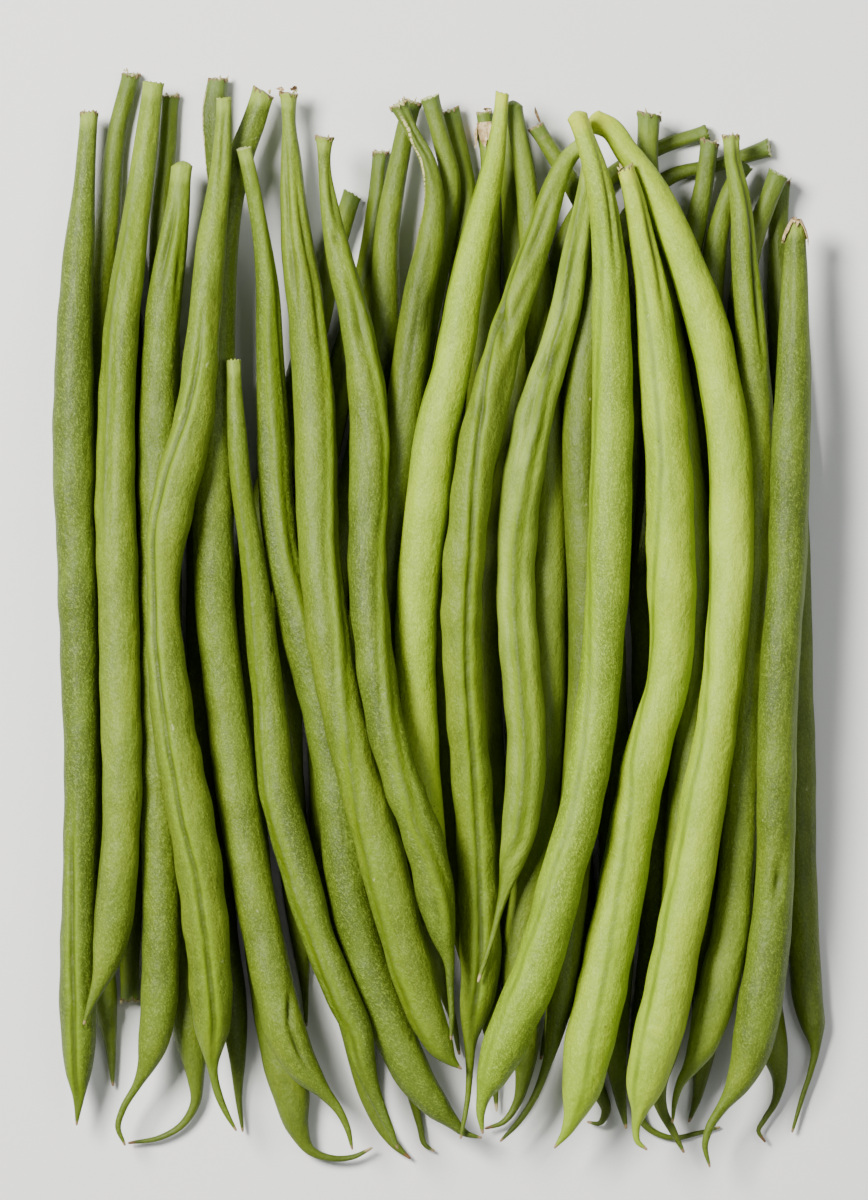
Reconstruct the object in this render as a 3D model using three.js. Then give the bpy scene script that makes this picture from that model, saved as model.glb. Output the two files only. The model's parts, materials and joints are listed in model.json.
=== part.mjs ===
// Green bean bundle: a heap of loose fine green beans that all lie along Y, stem ends towards +Y.
// Millimetres, +Z up. The heap rests on the plane Z = 0, with its box centred on X = Y = 0.
import * as THREE from 'three';

// Driving dimensions
const SIDES = 8; // sides of the rings that a bean is swept through
const RING_PITCH = 13; // longest stretch of bean between two rings
const STEPS_PER_RING = 4; // settling steps between two rings
const CLEARANCE = 0.3; // air left between two beans that rest on each other
const PRESS = 0.15; // depth by which the underside of a bean is pressed flat by the surface
const BEND_OVER = 0.006; // sharpest bend of a bean down over what carries it, per mm
const BEND_BETWEEN = 0.006; // sharpest bend of a bean up between two things that carry it, per mm
const CUT_SINK = 0.3; // how far the middle of the cut face lies below its rim
const TIP_BLUNTNESS = 0.5; // length of the closing cone of the dry tip, as a share of its width

// Skins, from the pale beans on top to the dark ones underneath
const SKINS = {
  pale: { color: 0xa7b85a, roughness: 0.56, metalness: 0 },
  mid: { color: 0x8a9f42, roughness: 0.58, metalness: 0 },
  deep: { color: 0x6c8238, roughness: 0.6, metalness: 0 },
};

// One row is one bean, from the first one laid down to the last one on top. Its stations run from
// the cut stem end to the dry tip: x, y and the width across the bean there.
const BEANS = [
  // Bottom layer
  { skin: 'deep', stations: [
    [43, 78.2, 2.7], [35.2, 75.6, 2.5], [27, 70.6, 3], [20.2, 60, 4.2], [18.2, 46, 5], [17.4, 25, 5.6],
    [13.4, 0, 5.8], [14, -28, 5.8], [16.2, -46, 5], [17.6, -56, 2.8], [17.4, -62, 1.4],
    [16.1, -70.3, 0.9]] },
  { skin: 'deep', stations: [
    [53.1, 75.7, 3.2], [45, 73, 2.3], [36.4, 70.7, 2.6], [29.6, 63, 3.7], [25.4, 50, 4.8],
    [23.8, 30, 5.4], [20.2, 0, 5.8], [20.8, -28, 5.8], [22.4, -52, 5.6], [23.4, -67, 4.6], [25, -75, 3],
    [26.4, -79.2, 1.8], [25.4, -80.9, 1.2], [23.8, -80.7, 0.8]] },
  { skin: 'deep', stations: [
    [54.5, 70.4, 3.2], [54.1, 62, 3.4], [54.6, 50, 4.6], [55.8, 26.6, 5.4], [56.6, 2.7, 5.6],
    [57.2, -22.7, 5.6], [57.6, -40.5, 5.4], [58.3, -55, 5], [58.8, -61, 4.8], [59.7, -65.4, 3.9],
    [60, -69, 1.9], [59.3, -72.4, 1.3], [58, -76.5, 1.1], [56.4, -82, 0.8]] },
  { skin: 'deep', stations: [
    [54.2, 71.7, 3.6], [51.8, 65.7, 3.4], [49.6, 60, 3.8], [48.2, 50, 4.4], [48, 28, 5.4],
    [46.8, 0, 5.8], [48.2, -30, 5.8], [50.4, -50, 5.8], [52, -62, 5.4], [53.5, -69.6, 4.2],
    [54.2, -74, 2.6], [53.4, -77.8, 1.5], [51.9, -80.2, 1.2], [50.9, -82.2, 1], [51.8, -83.6, 0.8]] },
  { skin: 'deep', stations: [
    [43.1, 76.9, 3.3], [42.2, 70, 3.2], [40, 60, 3.8], [36.6, 46, 4.8], [34, 24, 5.6], [33.2, 0, 5.8],
    [34.4, -30, 5.8], [34.4, -52, 5.4], [32.2, -68, 4], [31.3, -76, 2.5], [32.8, -81.2, 1.5],
    [36.7, -83.2, 1.2], [41.2, -82.5, 1], [44.5, -81.6, 0.8]] },
  { skin: 'deep', stations: [
    [48.8, 73, 3.2], [46.5, 69, 3], [44.9, 64, 3.4], [43.4, 56, 4.2], [42, 42, 5.2], [40.8, 22, 5.7],
    [39.8, 0, 5.8], [41.2, -30, 5.8], [42.8, -50, 5.6], [42.6, -64, 4.8], [41.8, -72, 3.2],
    [41, -77, 1.8], [39.9, -80.3, 0.9]] },
  { skin: 'deep', stations: [
    [15, 79, 2.8], [17.3, 75.4, 2.9], [20.4, 70.5, 3.2], [27, 57, 4.4], [29.8, 40, 5.2],
    [28.6, 20, 5.6], [26.6, 0, 5.8], [27.8, -30, 5.8], [28.4, -52, 5.4], [27.8, -68, 4],
    [28.6, -76, 2.4], [29.6, -81.2, 1]] },
  { skin: 'deep', stations: [
    [6.9, 81.6, 2.6], [7.9, 70, 3.1], [7.2, 50, 4.8], [5.8, 25, 5.6], [0.8, 0, 5.8], [1.2, -28, 5.8],
    [4, -48, 5.6], [7.4, -61, 4.6], [8.7, -69, 2.8], [8.7, -74, 1.6], [8.9, -78.6, 0.8]] },
  { skin: 'deep', stations: [
    [10.7, 81, 3.2], [11.4, 70, 3.6], [12.5, 50, 4.8], [11.7, 25, 5.6], [7.1, 0, 5.8], [7.7, -28, 5.8],
    [10.2, -46, 5.8], [12.8, -60, 5.4], [13.5, -68.6, 4.4], [13.2, -73.6, 2.9], [12.2, -77.6, 1.8],
    [9.8, -80.8, 1.2], [7.4, -81.6, 0.8]] },
  { skin: 'deep', stations: [
    [1.3, 82, 3.3], [4, 68, 3.4], [2, 47, 4.8], [-0.4, 25, 5.6], [-5.5, 0, 5.8], [-5.3, -28, 5.6],
    [-2.6, -48, 4.6], [0.4, -59, 2.6], [2, -64.5, 1.4], [2.9, -69.5, 0.9]] },
  { skin: 'deep', stations: [
    [-14, 68.5, 3.2], [-17.4, 58, 3.8], [-20.4, 46, 4.6], [-26, 25, 5.6], [-31.2, 0, 5.8],
    [-31.2, -28, 5.8], [-28.8, -50, 6.2], [-26, -67, 6.6], [-24, -76, 6.2], [-22.9, -81.6, 3.8],
    [-20.8, -85.2, 2], [-17.6, -86.4, 1.4], [-14, -86.2, 1.1], [-11.3, -84.9, 0.8]] },
  { skin: 'deep', stations: [
    [-9.6, 75.4, 3], [-10.5, 65, 3.4], [-12.1, 54, 4.3], [-15.2, 42, 5], [-19.4, 25, 5.6],
    [-24.8, 0, 5.8], [-24.8, -24, 5.8], [-23.2, -42, 4.8], [-22.2, -54, 2.8], [-21.8, -60, 1.4],
    [-21.6, -65, 0.8]] },
  { skin: 'deep', stations: [
    [-4.5, 83.3, 3.4], [-5.5, 79, 3.2], [-7.3, 70, 3.4], [-8.8, 60, 4.2], [-9, 47, 5], [-12.9, 25, 5.6],
    [-18.3, 0, 5.8], [-18.2, -28, 5.8], [-17.2, -48, 5.6], [-14.8, -61, 5.2], [-12.8, -70, 4.4],
    [-11.3, -77, 3.2], [-8.8, -82.4, 2.3], [-6.8, -84.9, 1.6], [-5.2, -86.3, 0.9]] },
  { skin: 'deep', stations: [
    [-1.9, 83.7, 3.2], [-0.3, 77.8, 3], [1.5, 69.7, 3.4], [0, 60, 4.2], [-3.2, 46, 5], [-6.7, 25, 5.6],
    [-12, 0, 5.8], [-12, -28, 5.8], [-10, -50, 5.6], [-6.8, -66, 4.2], [-4.6, -76, 2.2],
    [-3.3, -81.4, 1.4], [-2.4, -84.5, 1.1], [-1.3, -85.2, 0.8]] },
  { skin: 'deep', stations: [
    [-35.7, 87, 3.4], [-36.3, 82, 4.6], [-35.9, 75, 4.3], [-35.2, 68, 4], [-35.4, 58, 5],
    [-36.8, 40, 5.6], [-37.8, 20, 5.8], [-37.8, -5, 5.8], [-37.6, -28, 5.8], [-35.3, -50, 5.6],
    [-33.4, -62, 4.6], [-32.6, -71, 2.8], [-32.4, -77, 1.4], [-31.8, -81.9, 0.8]] },
  { skin: 'deep', stations: [
    [-43.3, 84.4, 2.9], [-43.9, 75, 2.9], [-44.8, 65, 3.5], [-44.4, 45, 5], [-44.4, 20, 5.6],
    [-44.4, -5, 5.8], [-44, -30, 5.8], [-41.8, -52, 5.8], [-40.2, -66, 5.4], [-39.4, -73, 3.2],
    [-39.4, -77.6, 2], [-41.6, -81.2, 1.5], [-45.1, -83.2, 1.2], [-49.8, -84, 0.8]] },
  { skin: 'deep', stations: [
    [-49.8, -61.5, 3.4], [-50, -56, 3.3], [-50, -40, 4.8], [-50.6, -15, 5.8], [-50.8, 10, 5.8],
    [-50.6, 32, 5.2], [-49.8, 48, 3.8], [-49.2, 58, 2], [-49, 64, 0.9]] },
  { skin: 'deep', stations: [
    [-49.5, 87.9, 3.1], [-51.9, 78, 3.3], [-53.2, 65.7, 3.8], [-55, 50, 4.8], [-56.6, 30, 5.6],
    [-57, 0, 5.8], [-56.6, -30, 5.6], [-55.2, -50, 5], [-53.8, -62, 3.8], [-52.9, -69.4, 2],
    [-52.6, -74.5, 0.9]] },
  // Middle layer
  { skin: 'mid', stations: [
    [-56.2, 81.4, 3.1], [-57, 70, 3.5], [-57.9, 57.5, 5], [-58.5, 45.5, 6], [-58.7, 33.7, 6.6],
    [-58.4, 17.5, 6.7], [-57.8, -3, 6.2], [-57.4, -27, 5.7], [-57.8, -45, 5.8], [-58.1, -59, 6.3],
    [-57.9, -67.4, 5.8], [-57.9, -72.4, 4.3], [-57.9, -76.6, 2.2], [-58.2, -80.6, 0.8]] },
  { skin: 'deep', stations: [
    [-7, 82.6, 3.3], [-4.6, 77.8, 2.3], [-2.2, 73.2, 2.6], [-1.1, 68, 3.1], [-1.6, 61, 4.3],
    [-3.2, 53, 5.1], [-5, 40, 5.8], [-6.6, 25, 6], [-8.4, 5, 6.2], [-9, -15, 6], [-8.4, -32, 5.2],
    [-7.4, -44, 3.8], [-7, -51, 1.8], [-7, -57, 0.9]] },
  { skin: 'deep', stations: [
    [11.6, 82.3, 2.9], [12.3, 77.8, 3.1], [13.6, 70, 3.6], [15.6, 50, 5], [17, 25, 6], [17, 0, 6],
    [16.6, -22, 6], [14.6, -40, 6], [12.4, -52, 4.8], [11, -60, 2.6], [10.4, -65, 1.3],
    [10.2, -69.5, 0.8]] },
  { skin: 'deep', stations: [
    [25.5, 62, 3.2], [24.3, 50, 4.4], [22.9, 40, 5.4], [22.2, 28, 6], [22.8, 14, 6.2], [23.4, 0, 6.2],
    [22.8, -20, 6.2], [20.8, -40, 6], [19.8, -52, 5.4], [19.4, -59, 4.6], [18.2, -66, 3.2],
    [16.9, -71, 1.9], [14.6, -77, 1.4], [12, -80.8, 1.2], [9.7, -83.2, 0.8]] },
  { skin: 'deep', stations: [
    [33.3, 81.3, 4.2], [33.1, 73.8, 3.6], [33.6, 66, 4], [35.4, 50, 5.2], [38.8, 25, 6], [40.6, 0, 6.2],
    [39.2, -30, 6.2], [37.4, -55, 5.8], [36, -68, 4.6], [34.6, -75, 3.2], [35.4, -78.6, 2.1],
    [37, -81.7, 1.6], [38.7, -85, 0.9]] },
  { skin: 'mid', stations: [
    [-41.3, 72.5, 3.5], [-42, 65.7, 4], [-43.2, 57.6, 5], [-44.4, 48, 5.7], [-45.1, 36, 6],
    [-45.3, 18, 6.2], [-45.3, -6, 6.2], [-45.2, -28, 6], [-44.7, -42, 6], [-44.7, -54, 6.1],
    [-45.1, -62, 6.1], [-45.9, -67.4, 5], [-46.9, -71, 3.3], [-48.5, -74.4, 1.8], [-50.8, -78.3, 1.4],
    [-51.6, -81.3, 1.2], [-50.6, -83.8, 0.8]] },
  { skin: 'mid', stations: [
    [46.2, 77.6, 3], [46.5, 73.8, 2.9], [47.6, 67.7, 3.4], [48.4, 57.6, 4.3], [49.1, 49.4, 5],
    [50, 38, 5.6], [50.4, 18.6, 5.9], [49.4, -3.7, 6], [48.3, -22.7, 6], [47.2, -40, 6],
    [46.2, -50, 6.2], [44.6, -57.6, 6.4], [42.9, -64, 5.9], [41.6, -68.2, 4.6], [39.9, -71.5, 2.9],
    [38.2, -74.2, 1.8], [37.4, -76.8, 1.3], [37, -80.1, 0.8]] },
  { skin: 'mid', stations: [
    [-28.2, 84.8, 3.8], [-29.8, 79.8, 4.1], [-31.9, 74, 4.2], [-33.7, 67, 4.4], [-34.9, 58.4, 4.9],
    [-35.4, 47, 5.5], [-35.9, 34, 6.2], [-36.3, 17.5, 6.6], [-36, 2, 6.6], [-34.6, -11, 6.6],
    [-33, -24.5, 6.7], [-31, -37, 6.7], [-28.8, -49, 6.6], [-26.4, -59.4, 6.6], [-24.2, -67.3, 6.3],
    [-21.6, -72, 4.8], [-18.6, -75.6, 2.6], [-16.2, -78.6, 1.7], [-14.8, -81.6, 1.3],
    [-14.2, -84.3, 0.8]] },
  { skin: 'mid', stations: [
    [-31.5, 75.4, 2.6], [-30.2, 69.7, 2.8], [-28.7, 61.6, 3], [-27.7, 53.5, 3.9], [-27.3, 43, 4.8],
    [-26.7, 28, 5.7], [-25.4, 11, 6.3], [-21.4, -5, 6.6], [-17.8, -20, 6.8], [-16, -33, 6.9],
    [-14.2, -45.4, 7], [-11.8, -54.4, 7], [-9.1, -61.6, 7], [-6.2, -69, 6.5], [-3.4, -74.4, 5.7],
    [-0.8, -77.8, 4.4], [1.9, -80.4, 2.6], [4, -82.2, 1.5], [6.2, -82.8, 0.8]] },
  // Top layer
  { skin: 'mid', stations: [
    [-45.9, 86, 3.5], [-46.9, 78, 3.9], [-48.5, 65.7, 4.5], [-49.7, 57, 5.4], [-50.9, 47, 6],
    [-51.7, 34, 6.5], [-51.8, 17.5, 6.8], [-51.4, 3, 6.8], [-51, -12, 6.5], [-50.8, -27, 6.6],
    [-51.1, -37, 6.2], [-51.9, -45, 6.4], [-52.7, -51.4, 5.7], [-53.7, -55.8, 3.9], [-55, -59.4, 2.3],
    [-56, -62, 1.5], [-56.8, -64.3, 0.8]] },
  { skin: 'mid', stations: [
    [56.7, 63.8, 3.2], [56.5, 57.6, 4], [56.4, 49.4, 4.6], [56.1, 37.7, 5.8], [55.6, 22, 6.5],
    [55.1, 8, 6.1], [54.3, -3, 6.3], [53.6, -13, 6.5], [53.4, -28, 6.3], [53.2, -40.5, 6.2],
    [52.5, -50, 6.8], [51.3, -58.4, 7.2], [50.2, -65, 6.9], [48.9, -70.6, 5.6], [47.1, -74.6, 3.8],
    [44.9, -77.8, 2.2], [42.9, -81, 1.7], [42.1, -84, 1.3], [42.8, -87.1, 0.8]] },
  { skin: 'mid', stations: [
    [-34.5, 83.2, 2.4], [-34.7, 77.8, 2.9], [-35.2, 69.7, 3.6], [-36.3, 61.6, 4.5], [-37.3, 51, 5.2],
    [-38.2, 41, 6], [-39.4, 31, 6.9], [-41.9, 21.5, 7.3], [-43.4, 14, 7.1], [-44.1, 4, 5.4],
    [-43.9, -4, 6.1], [-43.2, -11, 7], [-41.9, -20, 7.6], [-40.2, -29.5, 7.8], [-38.4, -40, 7.9],
    [-37.3, -50, 7.8], [-36.7, -59, 7.4], [-36.4, -64.6, 6.3], [-36.5, -68, 4], [-36.4, -71.6, 2],
    [-35.4, -76, 1.6], [-34, -79.2, 1.2], [-32.8, -81.3, 0.8]] },
  { skin: 'pale', stations: [
    [9.8, 84.2, 2.3], [9.2, 77.8, 2.9], [7.8, 69.7, 4], [5.9, 61.6, 4.9], [4.1, 53.5, 5.4],
    [2.7, 45.4, 6.1], [1.2, 37.3, 6.5], [-0.8, 29.6, 6.8], [-2, 20, 6.9], [-3.6, 5, 6.8],
    [-4, -10, 6.6], [-3, -25, 6], [-1.6, -36, 4.8], [-0.4, -44, 3], [0.4, -50, 1.4], [0.8, -55, 0.9]] },
  { skin: 'mid', stations: [
    [-33, 41.5, 2.4], [-32.8, 35, 2.7], [-32.5, 29.6, 3.2], [-31.8, 21.5, 3.6], [-30.4, 12, 4.1],
    [-28.9, 0, 5], [-27.4, -14, 5.8], [-26, -27, 6.4], [-24.6, -33, 6.5], [-22.5, -40.4, 6.5],
    [-19.8, -49.8, 5.9], [-15.8, -60, 5.5], [-13.3, -65.4, 5], [-12.4, -70, 4.2], [-11, -74.6, 2.9],
    [-9.3, -78.6, 2], [-7.8, -82, 1.4], [-7, -84, 0.8]] },
  { skin: 'mid', stations: [
    [-24.4, 84.6, 3.2], [-24.3, 79.6, 2.4], [-24, 73.8, 3.3], [-23.5, 65.7, 4.3], [-22.7, 57.6, 5.4],
    [-21.5, 49.4, 6.3], [-20.4, 37, 7], [-19.8, 24, 7.2], [-19.4, 11.8, 7.3], [-17.6, -4, 7.4],
    [-14.4, -20, 7.5], [-11.4, -30.8, 7.6], [-8.9, -40, 7.9], [-6.3, -50, 7.7], [-3.4, -60, 6.9],
    [-1.5, -65, 5.8], [0.2, -68.4, 4.2], [1.8, -70.4, 2.2], [3, -71.4, 0.9]] },
  { skin: 'mid', stations: [
    [22.7, 75.8, 2.6], [20.3, 73.4, 3.2], [18.2, 69, 3.9], [15.9, 61.6, 4.5], [13.1, 53.5, 5.2],
    [10.6, 45.4, 5.9], [8.4, 37.3, 6.6], [6.3, 29, 7], [4.6, 18, 7], [3.4, 6, 6.9], [3.4, -7, 6.8],
    [4.6, -22, 6.8], [5.6, -35, 6.9], [6.2, -46, 7.2], [6.3, -54, 7.1], [5.9, -59, 6.3],
    [5.2, -63.4, 4.4], [4.7, -67.4, 2.4], [4.6, -71.8, 1.5], [4.3, -76.3, 1.2], [3.2, -82.6, 0.8]] },
  { skin: 'mid', stations: [
    [-18.5, 77.2, 3.1], [-18.6, 74, 2.3], [-17.8, 65.7, 3], [-16.1, 57.6, 4.4], [-14, 49.4, 5.3],
    [-12.2, 39.5, 6.2], [-11.3, 29.6, 6.9], [-11.6, 18, 6.8], [-11.6, 6, 6.6], [-10.4, -7, 6.6],
    [-8.2, -19, 6.8], [-5.4, -28, 6.9], [-2.8, -35, 6.9], [-1.3, -41, 6.7], [-0.4, -46, 6],
    [0.4, -50.4, 4], [1.3, -54.4, 2.1], [1.5, -59, 1.4], [1.7, -63.4, 1.1], [1.6, -66.4, 0.8]] },
  { skin: 'mid', stations: [
    [23.7, 71.9, 3], [22.7, 65.7, 3.8], [21.3, 57.6, 4.6], [19.8, 49, 5.2], [17.5, 41, 5.7],
    [15.2, 33.6, 6.5], [13.5, 25.5, 6.9], [12.2, 14, 6.8], [12, 2, 6.8], [12.9, -10, 6.8],
    [13.6, -20, 6.8], [13.1, -29, 6.7], [12.2, -34.5, 5.8], [11.1, -39, 4.2], [10.2, -43, 2.4],
    [9.4, -46, 1.6], [8.2, -50.6, 1.2], [7, -54.4, 1.1], [6, -57.4, 0.8]] },
  { skin: 'pale', stations: [
    [24.3, 79.4, 3.9], [26.9, 78.3, 4.1], [29.5, 74.6, 4.2], [33, 69.6, 4.7], [36.2, 63.8, 5.3],
    [39.4, 55.6, 5.9], [41.9, 48.4, 6.6], [44, 40, 6.8], [45.6, 29.6, 7], [46.3, 18, 7.1], [46, 5, 6.9],
    [45.2, -6, 6.8], [43.6, -18, 6.8], [41.6, -29.5, 7.3], [39.8, -40.5, 7.5], [38, -50, 7.7],
    [35.9, -60, 7.9], [33.8, -69, 7.4], [32.3, -75, 5.6], [31.6, -78.2, 3], [31, -81, 1.6],
    [31.3, -83.2, 1.3], [32.5, -84.2, 0.9]] },
  { skin: 'pale', stations: [
    [21.5, 80, 3.3], [22.8, 76.4, 3.4], [24.3, 72, 4], [25.8, 65, 4.8], [26.6, 57.6, 5.4],
    [27.1, 47, 6.2], [27.2, 33, 6.7], [26.9, 17.5, 6.9], [26.4, 5, 6.9], [25.4, -7, 6.9],
    [24, -20, 6.9], [21.9, -31, 7], [19.3, -40.5, 7.2], [17.1, -49.4, 7.3], [14.4, -57.6, 7.5],
    [11.6, -64, 7.4], [9.7, -68.6, 7], [8.1, -72.6, 5.2], [6.8, -75.8, 2.7], [6.3, -78.6, 1.7],
    [6.6, -81.4, 0.9]] },
  { skin: 'pale', stations: [
    [29.1, 72.2, 2.8], [30.2, 68.6, 3.5], [32.1, 60, 4.2], [33.3, 53.5, 5], [34.2, 46, 6.2],
    [35, 38, 7], [35.9, 28, 7.4], [36.4, 16, 7.8], [36.7, 5.2, 7.8], [36.6, -5, 7.2], [35.9, -11, 7],
    [34.1, -17, 7], [32.7, -22, 7.3], [30.8, -31, 7.5], [29.2, -40.5, 7.8], [27.4, -50, 7.9],
    [25.4, -60, 8], [23.3, -69, 7.8], [22.3, -75, 6.4], [21.2, -79, 3.6], [19.8, -82, 2],
    [18.3, -84, 0.9]] },
];

// From a ring's middle to its flats, as a share of its radius
const flatShare = Math.cos(Math.PI / SIDES);

// The bean's plan line in short steps, each with the radius there. The third coordinate of the
// curve carries the width.
function traceBean(stations) {
  const knots = stations.map(([x, y, width]) => new THREE.Vector3(x, y, width));
  const curve = new THREE.CatmullRomCurve3(knots);
  const stretches = stations.length - 1;
  const steps = [];
  const addStep = (t) => {
    const point = curve.getPoint(t);
    const last = steps[steps.length - 1];
    const along = last ? last.along + Math.hypot(point.x - last.x, point.y - last.y) : 0;
    steps.push({ x: point.x, y: point.y, radius: point.z / 2, along, z: 0 });
  };
  addStep(0);
  for (let i = 0; i < stretches; i += 1) {
    const reach = Math.hypot(stations[i + 1][0] - stations[i][0], stations[i + 1][1] - stations[i][1]);
    const parts = Math.ceil(reach / RING_PITCH) * STEPS_PER_RING;
    for (let j = 1; j <= parts; j += 1) {
      addStep((i + j / parts) / stretches);
    }
  }
  return steps;
}

// The lowest height that the middle of a bean may have at one step: on the surface, or on the
// stretch of another bean from one of its steps to the next.
function heightOver(step, from, to) {
  const dx = to.x - from.x;
  const dy = to.y - from.y;
  const share = ((step.x - from.x) * dx + (step.y - from.y) * dy) / (dx * dx + dy * dy);
  const t = THREE.MathUtils.clamp(share, 0, 1);
  const aside = Math.hypot(step.x - from.x - dx * t, step.y - from.y - dy * t);
  const apart = step.radius + THREE.MathUtils.lerp(from.radius, to.radius, t) + CLEARANCE;
  if (aside >= apart) {
    return 0;
  }
  return THREE.MathUtils.lerp(from.z, to.z, t) + Math.sqrt(apart * apart - aside * aside);
}

function lowestHeight(step, below) {
  let height = step.radius * flatShare - PRESS;
  for (const other of below) {
    for (let i = 1; i < other.length; i += 1) {
      height = Math.max(height, heightOver(step, other[i - 1], other[i]));
    }
  }
  return height;
}

// A bean is stiff: it arches over what carries it, and it spans the dips between.
function settle(steps, below) {
  const floor = steps.map((step) => lowestHeight(step, below));
  const bow = (a, b, bend) => 0.5 * bend * (steps[a].along - steps[b].along) ** 2;
  const pick = (best, heights, bend, sign) => steps.map((_, a) => heights
    .map((height, b) => height + sign * bow(a, b, bend))
    .reduce((one, other) => best(one, other)));
  const arched = pick(Math.max, floor, BEND_OVER, -1);
  const bridged = pick(Math.max, arched, BEND_BETWEEN, -1);
  const spanned = pick(Math.min, bridged, BEND_BETWEEN, 1);
  steps.forEach((step, i) => {
    step.z = spanned[i];
  });
}

// A closed skin through rings that stand square to the bean's run, each with a flat side below.
function sweepBean(steps) {
  const rings = steps.filter((_, i) => i % STEPS_PER_RING === 0);
  const middles = rings.map((ring) => new THREE.Vector3(ring.x, ring.y, ring.z));
  const last = rings.length - 1;
  const points = [];
  const faces = [];
  const up = new THREE.Vector3(0, 0, 1);
  const heading = (i) => {
    const ahead = middles[Math.min(i + 1, last)].clone();
    return ahead.sub(middles[Math.max(i - 1, 0)]).normalize();
  };

  rings.forEach((ring, i) => {
    const along = heading(i);
    const side = new THREE.Vector3().crossVectors(along, up).normalize();
    const over = new THREE.Vector3().crossVectors(side, along);
    for (let k = 0; k < SIDES; k += 1) {
      const angle = (2 * Math.PI * (k + 0.5)) / SIDES;
      const corner = middles[i].clone();
      corner.addScaledVector(side, ring.radius * Math.cos(angle));
      corner.addScaledVector(over, ring.radius * Math.sin(angle));
      points.push(corner);
    }
  });
  points.push(middles[0].clone().addScaledVector(heading(0), CUT_SINK));
  points.push(middles[last].clone().addScaledVector(heading(last), 2 * rings[last].radius * TIP_BLUNTNESS));

  for (let k = 0; k < SIDES; k += 1) {
    const next = (k + 1) % SIDES;
    for (let i = 0; i < last; i += 1) {
      const here = i * SIDES;
      const there = here + SIDES;
      faces.push(here + k, there + next, here + next, here + k, there + k, there + next);
    }
    faces.push(points.length - 2, k, next);
    faces.push(points.length - 1, last * SIDES + next, last * SIDES + k);
  }
  const positions = points.flatMap((point) => [point.x, point.y, Math.max(point.z, 0)]);
  const geometry = new THREE.BufferGeometry();
  geometry.setAttribute('position', new THREE.Float32BufferAttribute(positions, 3));
  geometry.setIndex(faces);
  geometry.computeVertexNormals();
  return geometry;
}

const bundle = new THREE.Group();
const laid = [];
BEANS.forEach(({ skin, stations }, i) => {
  const steps = traceBean(stations);
  settle(steps, laid);
  laid.push(steps);
  const bean = new THREE.Mesh(sweepBean(steps), new THREE.MeshStandardMaterial(SKINS[skin]));
  bean.name = `bean_${String(i + 1).padStart(2, '0')}`;
  bundle.add(bean);
});

const box = new THREE.Box3().setFromObject(bundle);
const middle = box.getCenter(new THREE.Vector3());
bundle.position.set(-middle.x, -middle.y, 0);
bundle.updateMatrixWorld(true);

export default bundle;
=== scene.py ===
"""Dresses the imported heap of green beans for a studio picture, seen from straight above.

Each packed bean is read as a run of eight-cornered rings. A finely meshed pod is laid along that
run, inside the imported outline, and gets its seam, seed swellings, creases, cut stem end and thin
tail. Dried flower leaves and torn fibres then go onto the stem ends that keep them. Sizes are in
millimetres until a mesh is written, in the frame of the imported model.
"""

import json
import logging
import math
import random
from dataclasses import dataclass, field
from enum import Enum

import bmesh
import bpy
import numpy as np
from mathutils import Matrix, Vector

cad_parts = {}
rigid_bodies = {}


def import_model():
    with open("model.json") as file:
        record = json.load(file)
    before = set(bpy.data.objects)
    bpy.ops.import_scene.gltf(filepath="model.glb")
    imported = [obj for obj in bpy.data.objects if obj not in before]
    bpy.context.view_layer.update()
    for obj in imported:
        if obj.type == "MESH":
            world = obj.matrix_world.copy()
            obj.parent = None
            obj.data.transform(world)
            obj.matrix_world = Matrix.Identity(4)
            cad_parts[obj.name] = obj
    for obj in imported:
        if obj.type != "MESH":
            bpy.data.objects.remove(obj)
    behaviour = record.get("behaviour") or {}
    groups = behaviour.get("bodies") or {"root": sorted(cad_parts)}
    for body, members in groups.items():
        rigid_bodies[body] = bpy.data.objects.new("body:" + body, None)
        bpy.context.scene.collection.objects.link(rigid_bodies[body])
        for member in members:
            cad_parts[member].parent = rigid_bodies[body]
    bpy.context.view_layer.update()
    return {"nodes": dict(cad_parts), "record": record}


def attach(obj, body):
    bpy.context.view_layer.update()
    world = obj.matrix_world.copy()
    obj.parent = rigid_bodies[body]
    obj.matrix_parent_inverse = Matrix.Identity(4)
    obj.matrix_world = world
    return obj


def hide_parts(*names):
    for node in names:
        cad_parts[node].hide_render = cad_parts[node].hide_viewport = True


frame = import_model()

MM = 0.001
RING_CORNERS = 8
SEED = 20
ROUND = 2 * math.pi
LOG = logging.getLogger("green_beans")

Point = tuple[float, float]
Colour = tuple[float, float, float]
Socket = bpy.types.NodeSocket


class Skin(Enum):
    """The three skins, from pale to deep green, named as the record's slots. The darker ones are
    partly the beans' own green and partly painted shade on beans that lie lower in the heap.
    """

    PALE = "pale"
    MID = "mid"
    DEEP = "deep"


class Seam(Enum):
    """How a pod's seam stands out where it faces the light."""

    HIDDEN = "hidden"
    LINE = "line"
    GROOVE = "groove"
    RIDGE = "ridge"


class Stem(Enum):
    """How a pod's stem end is finished."""

    CLEAN = "clean"
    DOMED = "domed"
    RAGGED = "ragged"
    HUSKED = "husked"


class Tail(Enum):
    """The colour that a pod's tail dries to at its tip."""

    GREEN = "green"
    BROWN = "brown"
    STRAW = "straw"


@dataclass(frozen=True)
class Crease:
    """A dent or fold in a pod's skin.

    Attributes:
        at: where its middle lies in plan, in millimetres.
        length: its half length along the pod.
        width: its half width across the pod.
        depth: how far it sinks, below zero for a small bump; the deeper it sinks, the darker the
            shade painted into it.
        lean: how far it drifts across the pod for each millimetre along it.
    """

    at: Point
    length: float = 5.0
    width: float = 0.7
    depth: float = 0.25
    lean: float = 0.0


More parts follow.
